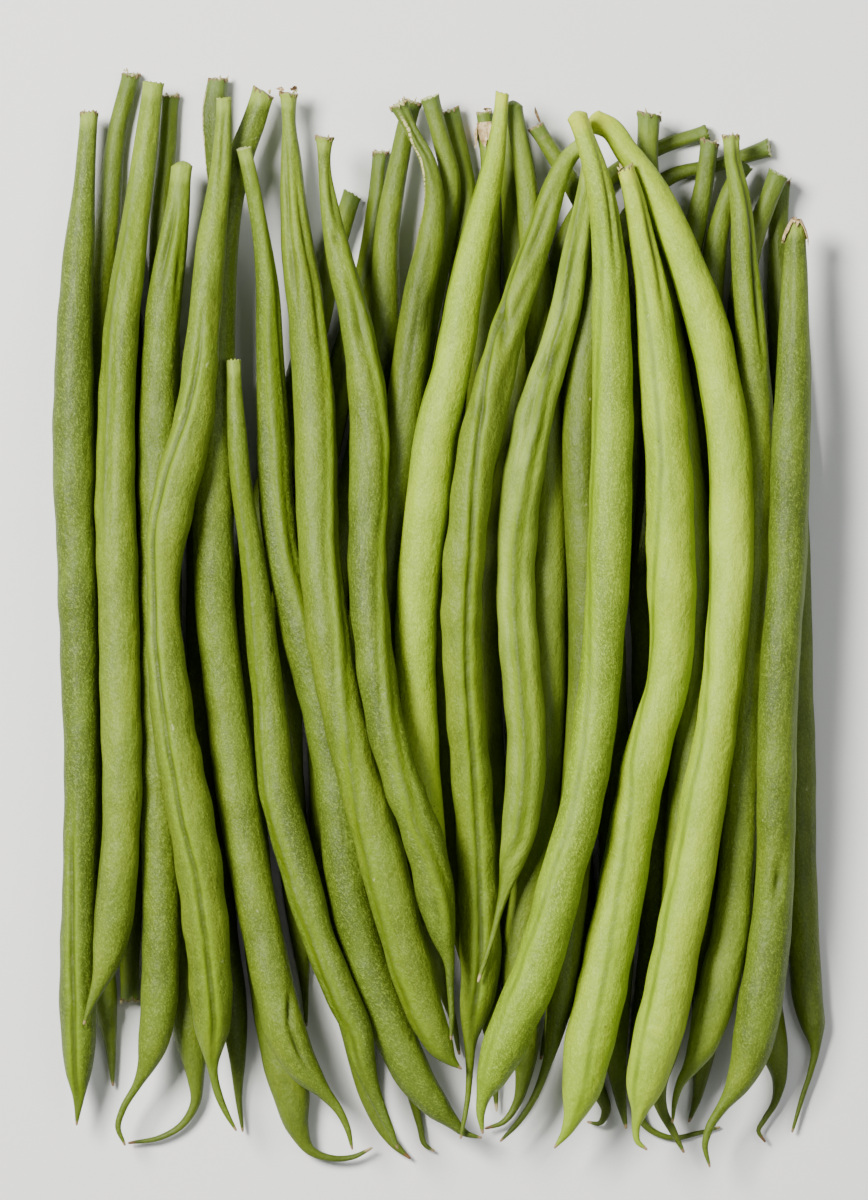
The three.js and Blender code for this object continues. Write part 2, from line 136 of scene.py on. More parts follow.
@dataclass(frozen=True)
class Look:
    """What sets one pod's looks apart from its neighbours'.

    Attributes:
        tone: lighter above zero, darker below; partly the bean's own green, partly painted light
            and shade where it lies.
        fade: how much lighter the stem end is than the tail, in the measure of the tone; partly
            painted light and shade along the bean.
        seam: points in plan that the visible seam passes over, from the stem end on.
        kind: how the seam stands out.
        parched: whether the seam has dried to a pale broken line.
        creases: dents and folds in the skin.
        stem: how the stem end is finished.
        cut: how steep the cut is and the angle round the pod where it runs down furthest.
        taper: the length over which the stem end runs to a point, in millimetres.
        tail: the colour of the tip.
        seeds: how far the seeds swell the pod, as a share of its radius.
    """

    tone: float = 0.0
    fade: float = 0.0
    seam: tuple[Point, ...] = ()
    kind: Seam = Seam.HIDDEN
    parched: bool = False
    creases: tuple[Crease, ...] = ()
    stem: Stem = Stem.CLEAN
    cut: tuple[float, float] | None = None
    taper: float = 0.0
    tail: Tail = Tail.GREEN
    seeds: float = 0.022


LOOKS: dict[str, Look] = {
    "bean_01": Look(tone=0.4),
    "bean_02": Look(tone=-0.5),
    "bean_03": Look(tone=-0.2, stem=Stem.RAGGED),
    "bean_04": Look(tone=-0.1, tail=Tail.BROWN),
    "bean_05": Look(tone=-0.4, stem=Stem.RAGGED),
    "bean_06": Look(tone=0.2),
    "bean_07": Look(tone=0.2, stem=Stem.HUSKED),
    "bean_08": Look(tone=1.0, stem=Stem.HUSKED, tail=Tail.STRAW),
    "bean_09": Look(tone=1.0, tail=Tail.BROWN, stem=Stem.DOMED),
    "bean_10": Look(tone=1.3, stem=Stem.RAGGED),
    "bean_11": Look(tone=0.4, fade=0.6, tail=Tail.STRAW),
    "bean_12": Look(
        tone=0.5, kind=Seam.RIDGE, stem=Stem.RAGGED,
        seam=((-9.3, 72.0), (-13.5, 50.0), (-15.5, 38.0)),
    ),
    "bean_13": Look(tone=0.3, tail=Tail.BROWN, stem=Stem.RAGGED),
    "bean_14": Look(tone=0.4),
    "bean_15": Look(
        tone=-0.9, kind=Seam.RIDGE, parched=True, stem=Stem.RAGGED,
        seam=((-38.2, 80.0), (-37.9, 74.0), (-37.0, 66.0)),
    ),
    "bean_16": Look(tone=0.6, tail=Tail.BROWN, stem=Stem.RAGGED),
    "bean_17": Look(tone=0.1, stem=Stem.RAGGED),
    "bean_18": Look(tone=0.1, stem=Stem.RAGGED),
    "bean_19": Look(
        tone=-1.3, fade=0.8, kind=Seam.GROOVE, stem=Stem.RAGGED,
        seam=((-58.8, -38.0), (-58.5, -60.0), (-58.2, -75.0)),
    ),
    "bean_20": Look(
        tone=-0.1, fade=0.8, kind=Seam.LINE, parched=True, stem=Stem.RAGGED,
        seam=((-5.2, 77.6), (-4.26, 75.0), (-3.2, 73.0), (-2.7, 70.9), (-2.5, 68.9), (-2.5, 66.4)),
        creases=(
            Crease((-3.0, 57.0), 1.2, 0.9, -0.12), Crease((-4.2, 44.0), 12.0, 0.72, 0.3, 0.02),
            Crease((-1.6, 49.0), 3.5, 1.68, 0.51, 0.1), Crease((-3.4, 76.0), 6.0, 0.5, 0.4, 0.0),
        ),
    ),
    "bean_21": Look(tone=0.9, stem=Stem.DOMED),
    "bean_22": Look(tone=-0.1, stem=Stem.RAGGED),
    "bean_23": Look(
        tone=1.0, fade=1.2, kind=Seam.LINE, stem=Stem.RAGGED,
        seam=((36.3, 76.0), (36.5, 66.0), (37.0, 56.0)),
    ),
    "bean_24": Look(
        tone=-0.4, kind=Seam.LINE, stem=Stem.DOMED,
        seam=((-41.0, 70.0), (-41.4, 62.0), (-42.0, 54.0)),
        creases=(
            Crease((-43.4, 60.0), 6.5, 0.7, 0.95, 0.04), Crease((-41.6, 55.0), 5.0, 0.6, 0.3, 0.0),
            Crease((-46.0, 30.0), 9.0, 1.92, 0.34, 0.05),
        ),
    ),
    "bean_25": Look(
        tone=0.5, fade=-0.9, kind=Seam.GROOVE, stem=Stem.RAGGED,
        seam=((47.7, 72.5), (49.9, 60.6), (50.6, 50.0)),
        creases=(
            Crease((50.5, 52.0), 8.0, 0.84, 0.34, 0.03), Crease((44.0, -56.0), 2.0, 0.8, -0.1),
        ),
    ),
    "bean_26": Look(
        tone=-0.3, fade=-0.4, cut=(0.45, -1.57), stem=Stem.RAGGED,
        creases=(
            Crease((-23.9, -62.6), 2.6, 0.42, 0.85, 0.33),
            Crease((-22.9, -68.0), 3.2, 0.42, 0.9, 0.05),
            Crease((-21.9, -65.0), 3.4, 0.9, -0.3, 0.05),
            Crease((-29.0, -50.0), 3.0, 1.44, 0.2, 0.2),
            Crease((-33.9, 66.0), 8.0, 0.9, 0.37, 0.04),
        ),
    ),
    "bean_27": Look(
        tone=-1.3, kind=Seam.RIDGE,
        seam=((-28.6, 67.4), (-27.2, 45.0), (-26.0, 25.8), (-23.0, 5.0)),
        creases=(Crease((-25.2, 45.0), 14.0, 0.6, 0.37, 0.0),),
    ),
    "bean_28": Look(
        tone=0.3, kind=Seam.RIDGE,
        seam=((-50.2, 60.6), (-52.3, 48.7), (-52.8, 35.9), (-53.4, 20.0)),
        creases=(
            Crease((-50.0, 66.0), 6.0, 1.0, -0.12, 0.05),
            Crease((-54.5, -40.0), 10.0, 0.96, 0.26, 0.02),
        ),
    ),
    "bean_29": Look(
        tone=-0.7, fade=-1.0, kind=Seam.LINE, stem=Stem.HUSKED, taper=3.2,
        seam=((59.6, 45.0), (60.0, 20.0), (58.0, -10.0), (56.0, -30.0)),
        creases=(
            Crease((53.7, -41.6), 2.1, 0.75, 0.95, 0.12),
            Crease((52.3, -41.0), 3.2, 0.9, -0.22, 0.1), Crease((55.2, -34.0), 4.0, 0.9, 0.2, 0.25),
            Crease((55.4, 50.0), 9.0, 0.9, 0.25, 0.0),
        ),
    ),
    "bean_30": Look(
        tone=0.3, fade=0.5, kind=Seam.GROOVE, seeds=0.035,
        seam=(
            (-38.5, 40.0), (-42.1, 27.5), (-45.5, 15.0), (-44.0, -15.0), (-41.0, -33.0),
            (-39.0, -40.0), (-36.5, -58.0), (-36.0, -65.0),
        ),
        creases=(
            Crease((-34.6, 74.0), 6.0, 0.6, 0.34, 0.02),
            Crease((-35.5, 50.0), 4.0, 1.68, 0.42, 0.1),
            Crease((-41.0, -52.0), 0.7, 2.0, 0.12, 0.0),
        ),
    ),
    "bean_31": Look(
        tone=0.5, fade=-0.4, kind=Seam.LINE, cut=(0.35, -1.57),
        seam=((5.9, 70.0), (2.0, 55.0), (-2.5, 38.0)),
    ),
    "bean_32": Look(
        tone=-0.9, fade=1.0, kind=Seam.RIDGE,
        seam=((-32.0, 20.0), (-27.5, -30.0), (-21.0, -50.0), (-14.0, -67.0)),
        creases=(
            Crease((-26.8, -25.6), 0.8, 0.96, 0.31), Crease((-18.5, -59.0), 7.0, 0.72, 0.31, 0.05),
            Crease((-13.5, -70.0), 4.0, 0.6, 0.42, 0.0),
        ),
    ),
    "bean_33": Look(
        tone=0.1, fade=0.5, kind=Seam.RIDGE, stem=Stem.RAGGED,
        seam=((-17.5, 41.0), (-15.5, -5.0), (-13.0, -33.0), (-8.5, -52.0), (-3.0, -66.0)),
        creases=(
            Crease((-24.4, 66.0), 8.0, 0.5, 0.55, 0.0), Crease((-21.8, 62.0), 8.0, 0.5, 0.5, -0.03),
            Crease((-19.5, 50.0), 9.0, 0.72, 0.45, 0.04),
            Crease((-23.4, 55.0), 4.5, 0.7, 0.6, 0.03),
        ),
    ),
    "bean_34": Look(
        tone=0.55, fade=0.3, kind=Seam.GROOVE, stem=Stem.DOMED, seeds=0.035,
        seam=(
            (14.7, 64.0), (11.5, 55.0), (9.2, 48.7), (6.2, 30.0), (5.0, 10.0), (5.8, -33.0),
            (5.8, -60.0),
        ),
        creases=(
            Crease((15.6, 61.0), 7.0, 0.66, 0.58, 0.08),
            Crease((9.6, 46.2), 3.4, 1.32, 1.27, -0.45),
            Crease((12.4, 49.0), 5.0, 0.96, 0.51, 0.15), Crease((6.2, 32.6), 1.6, 1.56, 0.59),
            Crease((11.0, 38.0), 7.0, 1.56, 0.51, 0.1),
        ),
    ),
    "bean_35": Look(
        tone=-0.5, fade=1.1, kind=Seam.RIDGE, stem=Stem.RAGGED, seeds=0.04,
        seam=((-12.9, 52.2), (-9.5, 37.7), (-8.0, 20.0), (-4.0, -33.0), (1.0, -45.0)),
        creases=(
            Crease((-16.5, 59.9), 0.6, 0.72, 0.68), Crease((-16.9, 66.0), 4.5, 0.72, 0.51, 0.05),
            Crease((-14.3, 45.2), 0.9, 0.8, -0.15), Crease((-12.6, 46.0), 5.0, 1.08, 0.48, 0.1),
        ),
    ),
    "bean_36": Look(
        tone=1.55, fade=1.3, kind=Seam.RIDGE, tail=Tail.STRAW,
        seam=((21.5, 63.1), (18.1, 42.8), (15.5, 30.0), (11.8, 10.0), (12.0, -35.0), (8.5, -45.0)),
        creases=(
            Crease((17.2, 40.2), 2.2, 1.5, 0.8, 0.2), Crease((19.6, 50.0), 9.0, 0.6, 0.5, 0.05),
            Crease((14.4, 33.0), 4.0, 1.2, 0.4, -0.1),
        ),
    ),
    "bean_37": Look(
        tone=0.9, fade=0.1, kind=Seam.LINE, stem=Stem.DOMED, seeds=0.02,
        seam=(
            (28.3, 68.0), (34.5, 45.0), (39.6, 25.0), (41.8, 5.0), (41.5, -20.0), (36.3, -45.0),
            (31.2, -72.0),
        ),
        creases=(
            Crease((33.5, -66.5), 0.5, 1.32, 0.27), Crease((34.4, -63.8), 0.5, 0.96, 0.24),
            Crease((48.4, -14.0), 3.0, 1.2, 0.34), Crease((31.0, 70.0), 5.0, 1.08, 0.34, 0.1),
        ),
    ),
    "bean_38": Look(
        tone=-0.95, fade=1.0, kind=Seam.LINE, stem=Stem.DOMED,
        seam=(
            (25.6, 56.0), (24.4, 30.0), (23.6, 10.0), (23.6, -10.0), (20.4, -33.0), (13.5, -53.0),
            (8.0, -68.0),
        ),
        creases=(
            Crease((27.2, 64.0), 9.0, 0.54, 0.61, 0.05),
            Crease((28.6, 62.0), 6.0, 0.54, 0.51, 0.05), Crease((29.0, 50.0), 5.0, 1.08, 0.27, 0.1),
        ),
    ),
    "bean_39": Look(
        tone=0.65, kind=Seam.LINE, cut=(0.6, 1.57), stem=Stem.RAGGED,
        seam=(
            (32.2, 52.0), (33.7, 41.0), (35.0, 25.0), (34.2, 10.0), (32.6, -10.0), (30.4, -30.0),
            (26.5, -55.0), (23.0, -75.0),
        ),
        creases=(
            Crease((33.8, 60.0), 6.5, 0.66, 0.71, 0.03),
            Crease((35.2, 52.0), 5.0, 0.72, 0.44, 0.05), Crease((37.5, 20.0), 1.2, 0.72, 0.24),
        ),
    ),
}


@dataclass(frozen=True)
class Grain:
    """A noise over a piece's own coordinates.

    Attributes:
        cells: cells for each millimetre, across, up and along.
        turn: the turn in degrees, from along toward across.
        detail: how many finer layers it has.
        roughness: how strong the finer layers are.
    """

    cells: tuple[float, float, float]
    turn: float = 0.0
    detail: float = 3.0
    roughness: float = 0.6


class Wiring:
    """A material's node tree, with short calls for what the finishes draw with."""

    def __init__(self, name: str) -> None:
        """Starts an empty material.

        Args:
            name: the material's name.
        """
        self.material = bpy.data.materials.new(name)
        self.material.use_nodes = True
        self.tree = self.material.node_tree
        self.tree.nodes.clear()

    def add(self, kind: str) -> bpy.types.Node:
        """Adds a node of that kind."""
        return self.tree.nodes.new(kind)

    def feed(self, socket: Socket, value: object) -> None:
        """Links a socket to a value, or sets the value on it.

        Args:
            socket: the input that takes the value.
            value: an output socket, a number or a colour.
        """
        if isinstance(value, Socket):
            self.tree.links.new(value, socket)
        else:
            socket.default_value = value

    def attribute(self, name: str) -> Socket:
        """The vector that a mesh attribute holds."""
        node = self.add("ShaderNodeAttribute")
        node.attribute_name = name
        return node.outputs["Vector"]

    def split(self, vector: Socket) -> list[Socket]:
        """The three numbers of a vector."""
        node = self.add("ShaderNodeSeparateXYZ")
        self.feed(node.inputs[0], vector)
        return list(node.outputs)

    def math(self, operation: str, *values: object, clamp: bool = False) -> Socket:
        """A Math node's result.

        Args:
            operation: the node's operation.
            *values: its inputs, in order.
            clamp: whether the result is held between 0 and 1.

        Returns:
            The result's socket.
        """
        node = self.add("ShaderNodeMath")
        node.operation = operation
        node.use_clamp = clamp
        for socket, value in zip(node.inputs, values):
            self.feed(socket, value)
        return node.outputs[0]

    def times(self, one: object, other: object, clamp: bool = False) -> Socket:
        """The product of two numbers."""
        return self.math("MULTIPLY", one, other, clamp=clamp)

    def plus(self, one: object, other: object, clamp: bool = False) -> Socket:
        """The sum of two numbers."""
        return self.math("ADD", one, other, clamp=clamp)

    def swing(self, value: object, reach: float) -> Socket:
        """A number from 0 to 1 moved to lie round zero, and scaled by its reach."""
        return self.times(self.math("SUBTRACT", value, 0.5), reach)

    def ramp(
        self, value: object, start: float, end: float, low: float = 0.0, high: float = 1.0
    ) -> Socket:
        """A smooth step from low at start to high at end.

        Args:
            value: the number that is followed.
            start: where the step begins.
            end: where it ends.
            low: the result before the step.
            high: the result after it.

        Returns:
            The result's socket.
        """
        node = self.add("ShaderNodeMapRange")
        node.interpolation_type = "SMOOTHSTEP"
        names = ("Value", "From Min", "From Max", "To Min", "To Max")
        for name, number in zip(names, (value, start, end, low, high)):
            self.feed(node.inputs[name], number)
        return node.outputs["Result"]

    def stretched(
        self, vector: Socket, scale: tuple[float, float, float], turn: float = 0.0
    ) -> Socket:
        """Coordinates turned about the pod's upright axis and then stretched.

        Args:
            vector: the coordinates.
            scale: cells for each millimetre, across, up and along.
            turn: the turn in degrees, from along toward across.

        Returns:
            The new coordinates' socket.
        """
        turned = self.add("ShaderNodeMapping")
        self.feed(turned.inputs["Vector"], vector)
        turned.inputs["Rotation"].default_value = (0.0, math.radians(turn), 0.0)
        scaled = self.add("ShaderNodeMapping")
        self.feed(scaled.inputs["Vector"], turned.outputs[0])
        scaled.inputs["Scale"].default_value = scale
        return scaled.outputs[0]

    def noise(self, vector: Socket, detail: float, roughness: float, scale: float = 1.0) -> Socket:
        """Noise from 0 to 1, with scale cells for each unit of the coordinates."""
        node = self.add("ShaderNodeTexNoise")
        self.feed(node.inputs["Vector"], vector)
        node.inputs["Scale"].default_value = scale
        node.inputs["Detail"].default_value = detail
        node.inputs["Roughness"].default_value = roughness
        return node.outputs["Fac"]

    def grain(self, vector: Socket, grain: Grain) -> Socket:
        """The noise that a grain describes."""
        stretched = self.stretched(vector, grain.cells, grain.turn)
        return self.noise(stretched, grain.detail, grain.roughness)

    def specks(self, vector: Socket, size: float) -> Socket:
        """Small round dots, 1 inside and 0 outside, one at most in each cell."""
        node = self.add("ShaderNodeTexVoronoi")
        self.feed(node.inputs["Vector"], vector)
        node.inputs["Scale"].default_value = 1.0
        return self.ramp(node.outputs["Distance"], size, size * 0.4)

    def blend(self, share: object, under: object, over: object) -> Socket:
        """Colour over laid on colour under by that share."""
        node = self.add("ShaderNodeMix")
        node.data_type = "RGBA"
        self.feed(node.inputs["Factor"], share)
        for socket, value in ((node.inputs[6], under), (node.inputs[7], over)):
            self.feed(socket, (*value, 1.0) if isinstance(value, tuple) else value)
        return node.outputs[2]

    def veil(
        self,
        under: object,
        over: Colour,
        value: object,
        start: float,
        end: float,
        most: float = 1.0,
    ) -> Socket:
        """One colour laid over another as a number passes from start to end.

        Args:
            under: the colour below.
            over: the colour on top.
            value: the number that is followed.
            start: where the veil begins.
            end: where it is thickest.
            most: its share there.

        Returns:
            The blended colour's socket.
        """
        return self.blend(self.ramp(value, start, end, 0.0, most), under, over)

    def finish(
        self, colour: Socket, roughness: object, height: Socket, specular: float = 0.5
    ) -> bpy.types.Material:
        """Closes the tree with a shader, a bump and an output.

        Args:
            colour: the skin's colour.
            roughness: its roughness.
            height: its relief in millimetres.
            specular: its specular level.

        Returns:
            The finished material.
        """
        bump = self.add("ShaderNodeBump")
        bump.inputs["Strength"].default_value = 1.0
        bump.inputs["Distance"].default_value = MM
        self.feed(bump.inputs["Height"], height)
        shader = self.add("ShaderNodeBsdfPrincipled")
        self.feed(shader.inputs["Base Color"], colour)
        self.feed(shader.inputs["Roughness"], roughness)
        self.feed(shader.inputs["Normal"], bump.outputs[0])
        shader.inputs["Specular IOR Level"].default_value = specular
        output = self.add("ShaderNodeOutputMaterial")
        self.tree.links.new(shader.outputs[0], output.inputs["Surface"])
        return self.material


@dataclass(frozen=True)
class PodSkin:
    """A fresh pod's skin: mottled green under fine pale down, with a greener seam.

    The skin reads three attributes. rind holds the straightened pod in millimetres: across from
    the seam, up and along. marks holds the seam's strength, how much shade is painted into creases,
    and how near the neck is, or below zero the tail. The strength is over 1 where shade is painted
    down the seam's core, and below zero where it has dried pale. look holds the pod's tone, partly
    painted light and shade, then how dry it is and the colour of its tip.

    Attributes:
        skin: which of the skins it is.
        light: the lighter patches.
        dark: the darker patches, and the tail.
        bloom: wide soft patches.
        down: the fine hairs.
        nap: how thick the hairs are, from 0 to 1.
        seam: the seam's line.
        flank: the clearer green beside it.
        crease_shade: painted shade at the bottom of creases and down a seam's groove.
        neck: the paler stem end.
    """

    skin: Skin
    light: Colour
    dark: Colour
    bloom: Colour
    down: Colour
    nap: float
    seam: Colour
    flank: Colour
    crease_shade: Colour
    neck: Colour

    CLOUD = Grain((0.22, 0.22, 0.09), roughness=0.55)
    WIDE_BLOOM = Grain((0.17, 0.17, 0.075), -12.0, 2.0, 0.5)
    FIBRE = Grain((1.3, 1.3, 0.2))
    HAIRS = Grain((3.0, 3.0, 1.7), 38.0, roughness=0.62)
    FUZZ = Grain((6.0, 6.0, 3.6), 38.0, 1.0, 0.5)
    PORES = Grain((1.5, 1.5, 1.1), roughness=0.65)
    SWELL = Grain((0.45, 0.45, 0.3), detail=2.0, roughness=0.5)
    WANDER = Grain((0.05, 0.05, 0.22), detail=1.0)
    PULSE = Grain((0.02, 0.02, 0.12), detail=1.0, roughness=0.7)
    BREAKS = Grain((0.9, 0.9, 2.4), detail=2.0)
    FRECKLED = Grain((0.12, 0.12, 0.05), 15.0, 2.0, 0.5)
    SCARRED = Grain((0.5, 0.5, 0.25), -20.0, roughness=0.7)

    # How far from the seam its parts fade out and where they are full, in millimetres.
    HALO_EDGE = (1.9, 0.4)
    LINE_EDGE = (0.75, 0.1)
    PARCHED_EDGE = (0.34, 0.16)
    BACK_EDGE = (0.9, 0.1)

    PARCHED = (0.60, 0.53, 0.28)
    FRECKLE = (0.09, 0.075, 0.018)
    SCAR = (0.55, 0.56, 0.27)
    BROWN_TIP = (0.16, 0.085, 0.03)
    STRAW_TIP = (0.62, 0.50, 0.26)
    TIP_STREAK = (0.08, 0.045, 0.02)

    def material(self) -> bpy.types.Material:
        """Builds the skin."""
        w = Wiring(f"pod_skin_{self.skin.value}")
        rind = w.attribute("rind")
        seam, crease_shade, end = w.split(w.attribute("marks"))
        tone, dry, straw = w.split(w.attribute("look"))
        hairs, fibre, pores, swell = (
            w.grain(rind, grain) for grain in (self.HAIRS, self.FIBRE, self.PORES, self.SWELL)
        )
        colour = self.mottle(w, rind, tone, hairs, fibre, pores)
        colour = self.draw_seams(w, rind, seam, colour)
        # Painted shade at the bottom of creases, darker in deeper ones.
        colour = w.blend(w.times(crease_shade, 0.85), colour, self.crease_shade)
        colour = w.blend(w.times(end, 0.15, clamp=True), colour, self.neck)
        colour = w.veil(colour, self.neck, end, 0.95, 0.995, 0.75)
        colour = w.blend(w.times(end, -0.6, clamp=True), colour, self.dark)
        colour = self.blemish(w, rind, colour)
        tip = w.blend(straw, self.BROWN_TIP, self.STRAW_TIP)
        tip = w.veil(tip, self.TIP_STREAK, fibre, 0.4, 0.65, 0.5)
        colour = w.blend(w.ramp(w.plus(dry, w.swing(pores, 0.5)), 0.3, 0.8), colour, tip)
        relief = w.times(hairs, 0.09)
        for grain, height in ((fibre, 0.07), (pores, 0.11), (swell, 0.35)):
            relief = w.plus(relief, w.times(grain, height))
        return w.finish(colour, w.ramp(fibre, 0.3, 0.7, 0.46, 0.56), relief, specular=0.27)

    def mottle(
        self, w: Wiring, rind: Socket, tone: Socket, hairs: Socket, fibre: Socket, pores: Socket
    ) -> Socket:
        """Mixes the pod's green, its patches and its down.

        Args:
            w: the skin's node tree.
            rind: the straightened pod's coordinates.
            tone: how light the pod is.
            hairs: the noise of the down.
            fibre: the noise of the long fibres.
            pores: the noise of the pores.

        Returns:
            The colour's socket.
        """
        lit = w.plus(w.swing(w.grain(rind, self.CLOUD), 1.5), 0.5)
        lit = w.plus(w.plus(lit, w.swing(fibre, 0.15)), w.swing(pores, 0.6))
        # The tone, partly painted light and shade, lightens or darkens the whole pod, and when high
        # veils it in the pale down.
        lit = w.plus(lit, w.times(tone, 0.42), clamp=True)
        colour = w.blend(lit, self.dark, self.light)
        colour = w.veil(colour, self.down, tone, 0.7, 1.7, 0.8)
        colour = w.veil(colour, self.bloom, w.grain(rind, self.WIDE_BLOOM), 0.45, 0.68, 0.6)
        colour = w.veil(colour, self.down, hairs, 0.5, 0.74, self.nap)
        colour = w.veil(colour, self.down, w.grain(rind, self.FUZZ), 0.5, 0.7, 0.7 * self.nap)
        return w.veil(colour, self.dark, hairs, 0.48, 0.28, 0.28)

    def draw_seams(self, w: Wiring, rind: Socket, seam: Socket, colour: Socket) -> Socket:
        """Draws the seam that faces the light, with painted shade down its core, and the plainer
        one on the pod's back.

        Args:
            w: the skin's node tree.
            rind: the straightened pod's coordinates.
            seam: the seam's strength.
            colour: the skin so far.

        Returns:
            The colour's socket.
        """
        across, up, _ = w.split(rind)
        side = w.math("ABSOLUTE", w.plus(across, w.swing(w.grain(rind, self.WANDER), 0.5)))
        strength = w.times(w.ramp(up, -0.2, 0.4), w.math("MAXIMUM", seam, 0.0))
        pulse = w.ramp(w.grain(rind, self.PULSE), 0.3, 0.62, 0.55, 1.0)
        strength = w.times(strength, pulse)
        halo = w.times(w.ramp(side, *self.HALO_EDGE), strength)
        line = w.times(w.ramp(side, *self.LINE_EDGE), strength)
        colour = w.blend(w.times(halo, 0.65), colour, self.flank)
        colour = w.blend(w.times(line, 0.9), colour, self.seam)
        # Painted shade down the seam's core: full in a groove, faint on a ridge.
        core = w.times(line, w.ramp(seam, 0.95, 1.5, 0.0, 0.3))
        colour = w.blend(core, colour, self.crease_shade)
        parched = w.times(w.times(seam, -1.0, clamp=True), w.ramp(side, *self.PARCHED_EDGE))
        breaks = w.ramp(w.grain(rind, self.BREAKS), 0.4, 0.5)
        colour = w.blend(w.times(parched, breaks), colour, self.PARCHED)
        back = w.ramp(w.math("ABSOLUTE", across), *self.BACK_EDGE)
        back = w.times(back, w.ramp(up, 0.2, -0.4))
        return w.blend(w.times(back, 0.6), colour, self.seam)

    def blemish(self, w: Wiring, rind: Socket, colour: Socket) -> Socket:
        """Adds patches of brown freckles and a few pale scars.

        Args:
            w: the skin's node tree.
            rind: the straightened pod's coordinates.
            colour: the skin so far.

        Returns:
            The colour's socket.
        """
        patches = w.ramp(w.grain(rind, self.FRECKLED), 0.5, 0.62)
        freckles = w.times(w.specks(w.stretched(rind, (0.75, 0.75, 0.6)), 0.16), patches)
        colour = w.blend(w.times(freckles, 0.6), colour, self.FRECKLE)
        return w.veil(colour, self.SCAR, w.grain(rind, self.SCARRED), 0.70, 0.80, 0.5)


# The mid and deep skins are darker copies of the pale one: partly the beans' own green, partly
# painted shade on beans lower in the heap.
PALETTE = (
    PodSkin(
        skin=Skin.PALE,
        light=(0.315, 0.44, 0.018),
        dark=(0.125, 0.20, 0.008),
        bloom=(0.205, 0.32, 0.016),
        down=(0.41, 0.55, 0.05),
        nap=0.65,
        seam=(0.118, 0.19, 0.003),
        flank=(0.235, 0.37, 0.004),
        crease_shade=(0.08, 0.12, 0.004),
        neck=(0.46, 0.54, 0.03),
    ),
    PodSkin(
        skin=Skin.MID,
        light=(0.168, 0.236, 0.013),
        dark=(0.054, 0.086, 0.004),
        bloom=(0.104, 0.165, 0.011),
        down=(0.28, 0.385, 0.045),
        nap=0.45,
        seam=(0.085, 0.13, 0.003),
        flank=(0.155, 0.24, 0.003),
        crease_shade=(0.042, 0.064, 0.002),
        neck=(0.27, 0.36, 0.05),
    ),
    PodSkin(
        skin=Skin.DEEP,
        light=(0.14, 0.20, 0.010),
        dark=(0.05, 0.076, 0.004),
        bloom=(0.08, 0.125, 0.01),
        down=(0.19, 0.26, 0.03),
        nap=0.36,
        seam=(0.045, 0.072, 0.002),
        flank=(0.11, 0.165, 0.002),
        crease_shade=(0.02, 0.032, 0.002),
        neck=(0.11, 0.17, 0.025),
    ),
)


@dataclass(frozen=True)
class CutFlesh:
    """The moist cream-green face of a cut stem, brown along its rim."""

    flesh: Colour = (0.62, 0.66, 0.30)
    core: Colour = (0.36, 0.44, 0.13)
    rim: Colour = (0.23, 0.13, 0.05)

    GRAIN = Grain((3.0, 3.0, 3.0))

    def material(self) -> bpy.types.Material:
        """Builds the cut face."""
        w = Wiring("cut_flesh")
        rind = w.attribute("rind")
        across, up, _ = w.split(rind)
        outward = w.math("SQRT", w.plus(w.math("POWER", across, 2.0), w.math("POWER", up, 2.0)))
        grain = w.grain(rind, self.GRAIN)
        colour = w.veil(self.core, self.flesh, grain, 0.35, 0.65)
        _, dry, _ = w.split(w.attribute("look"))
        colour = w.veil(colour, self.rim, w.plus(dry, w.swing(grain, 0.8)), 0.45, 0.75)
        return w.finish(colour, 0.5, w.times(grain, w.ramp(outward, 0.0, 2.0, 0.05, 0.2)))


@dataclass(frozen=True)
class DryHusk:
    """A dried scrap of flower leaf: papery brown with straw-coloured veins."""

    leaf: Colour = (0.30, 0.18, 0.08)
    vein: Colour = (0.58, 0.45, 0.24)
    scorched: Colour = (0.10, 0.05, 0.02)
    name: str = "dry_husk"

    VEINS = Grain((2.4, 2.4, 0.5), detail=4.0, roughness=0.65)
    CLOUD = Grain((0.7, 0.7, 0.7))

    def material(self) -> bpy.types.Material:
        """Builds the husk."""
        w = Wiring(self.name)
        rind = w.attribute("rind")
        veins = w.grain(rind, self.VEINS)
        colour = w.veil(self.leaf, self.vein, veins, 0.45, 0.65)
        colour = w.veil(colour, self.scorched, w.grain(rind, self.CLOUD), 0.5, 0.7, 0.8)
        return w.finish(colour, 0.75, w.times(veins, 0.25))


TORN_FIBRE = DryHusk((0.42, 0.36, 0.14), (0.58, 0.56, 0.28), (0.20, 0.12, 0.04), "torn_fibre")
STRAW_HUSK = DryHusk((0.48, 0.34, 0.15), (0.72, 0.60, 0.36), (0.24, 0.13, 0.05), "straw_husk")


class Finishes:
    """Every finish of the heap, built once."""

    def __init__(self) -> None:
        """Builds the materials."""
        self.skins = {finish.skin: finish.material() for finish in PALETTE}
        self.flesh = CutFlesh().material()
        self.husk = DryHusk().material()
        self.fibre = TORN_FIBRE.material()
        self.straw = STRAW_HUSK.material()


class Ripple:
    """A smooth random line around zero, the same at every run of the script."""

    PACES = (1.0, 1.7, 2.9)

    def __init__(self, rng: random.Random, wavelength: float) -> None:
        """Draws the waves that make up the line.

        Args:
            rng: where the draws come from.
            wavelength: the length of its longest waves, in millimetres.
        """
        self.waves = [
            (ROUND * pace * rng.uniform(0.8, 1.25) / wavelength, rng.uniform(0, ROUND), 1 / pace)
            for pace in self.PACES
        ]

    def at(self, places: np.ndarray) -> np.ndarray:
        """The line's height, about -1 to 1, at those places."""
        waves = (np.sin(rate * places + phase) * share for rate, phase, share in self.waves)
        return sum(waves) / 1.6


def hump(offset: np.ndarray, width: float) -> np.ndarray:
    """A soft bump, 1 at zero and small past its width."""
    return np.exp(-((offset / width) ** 2))


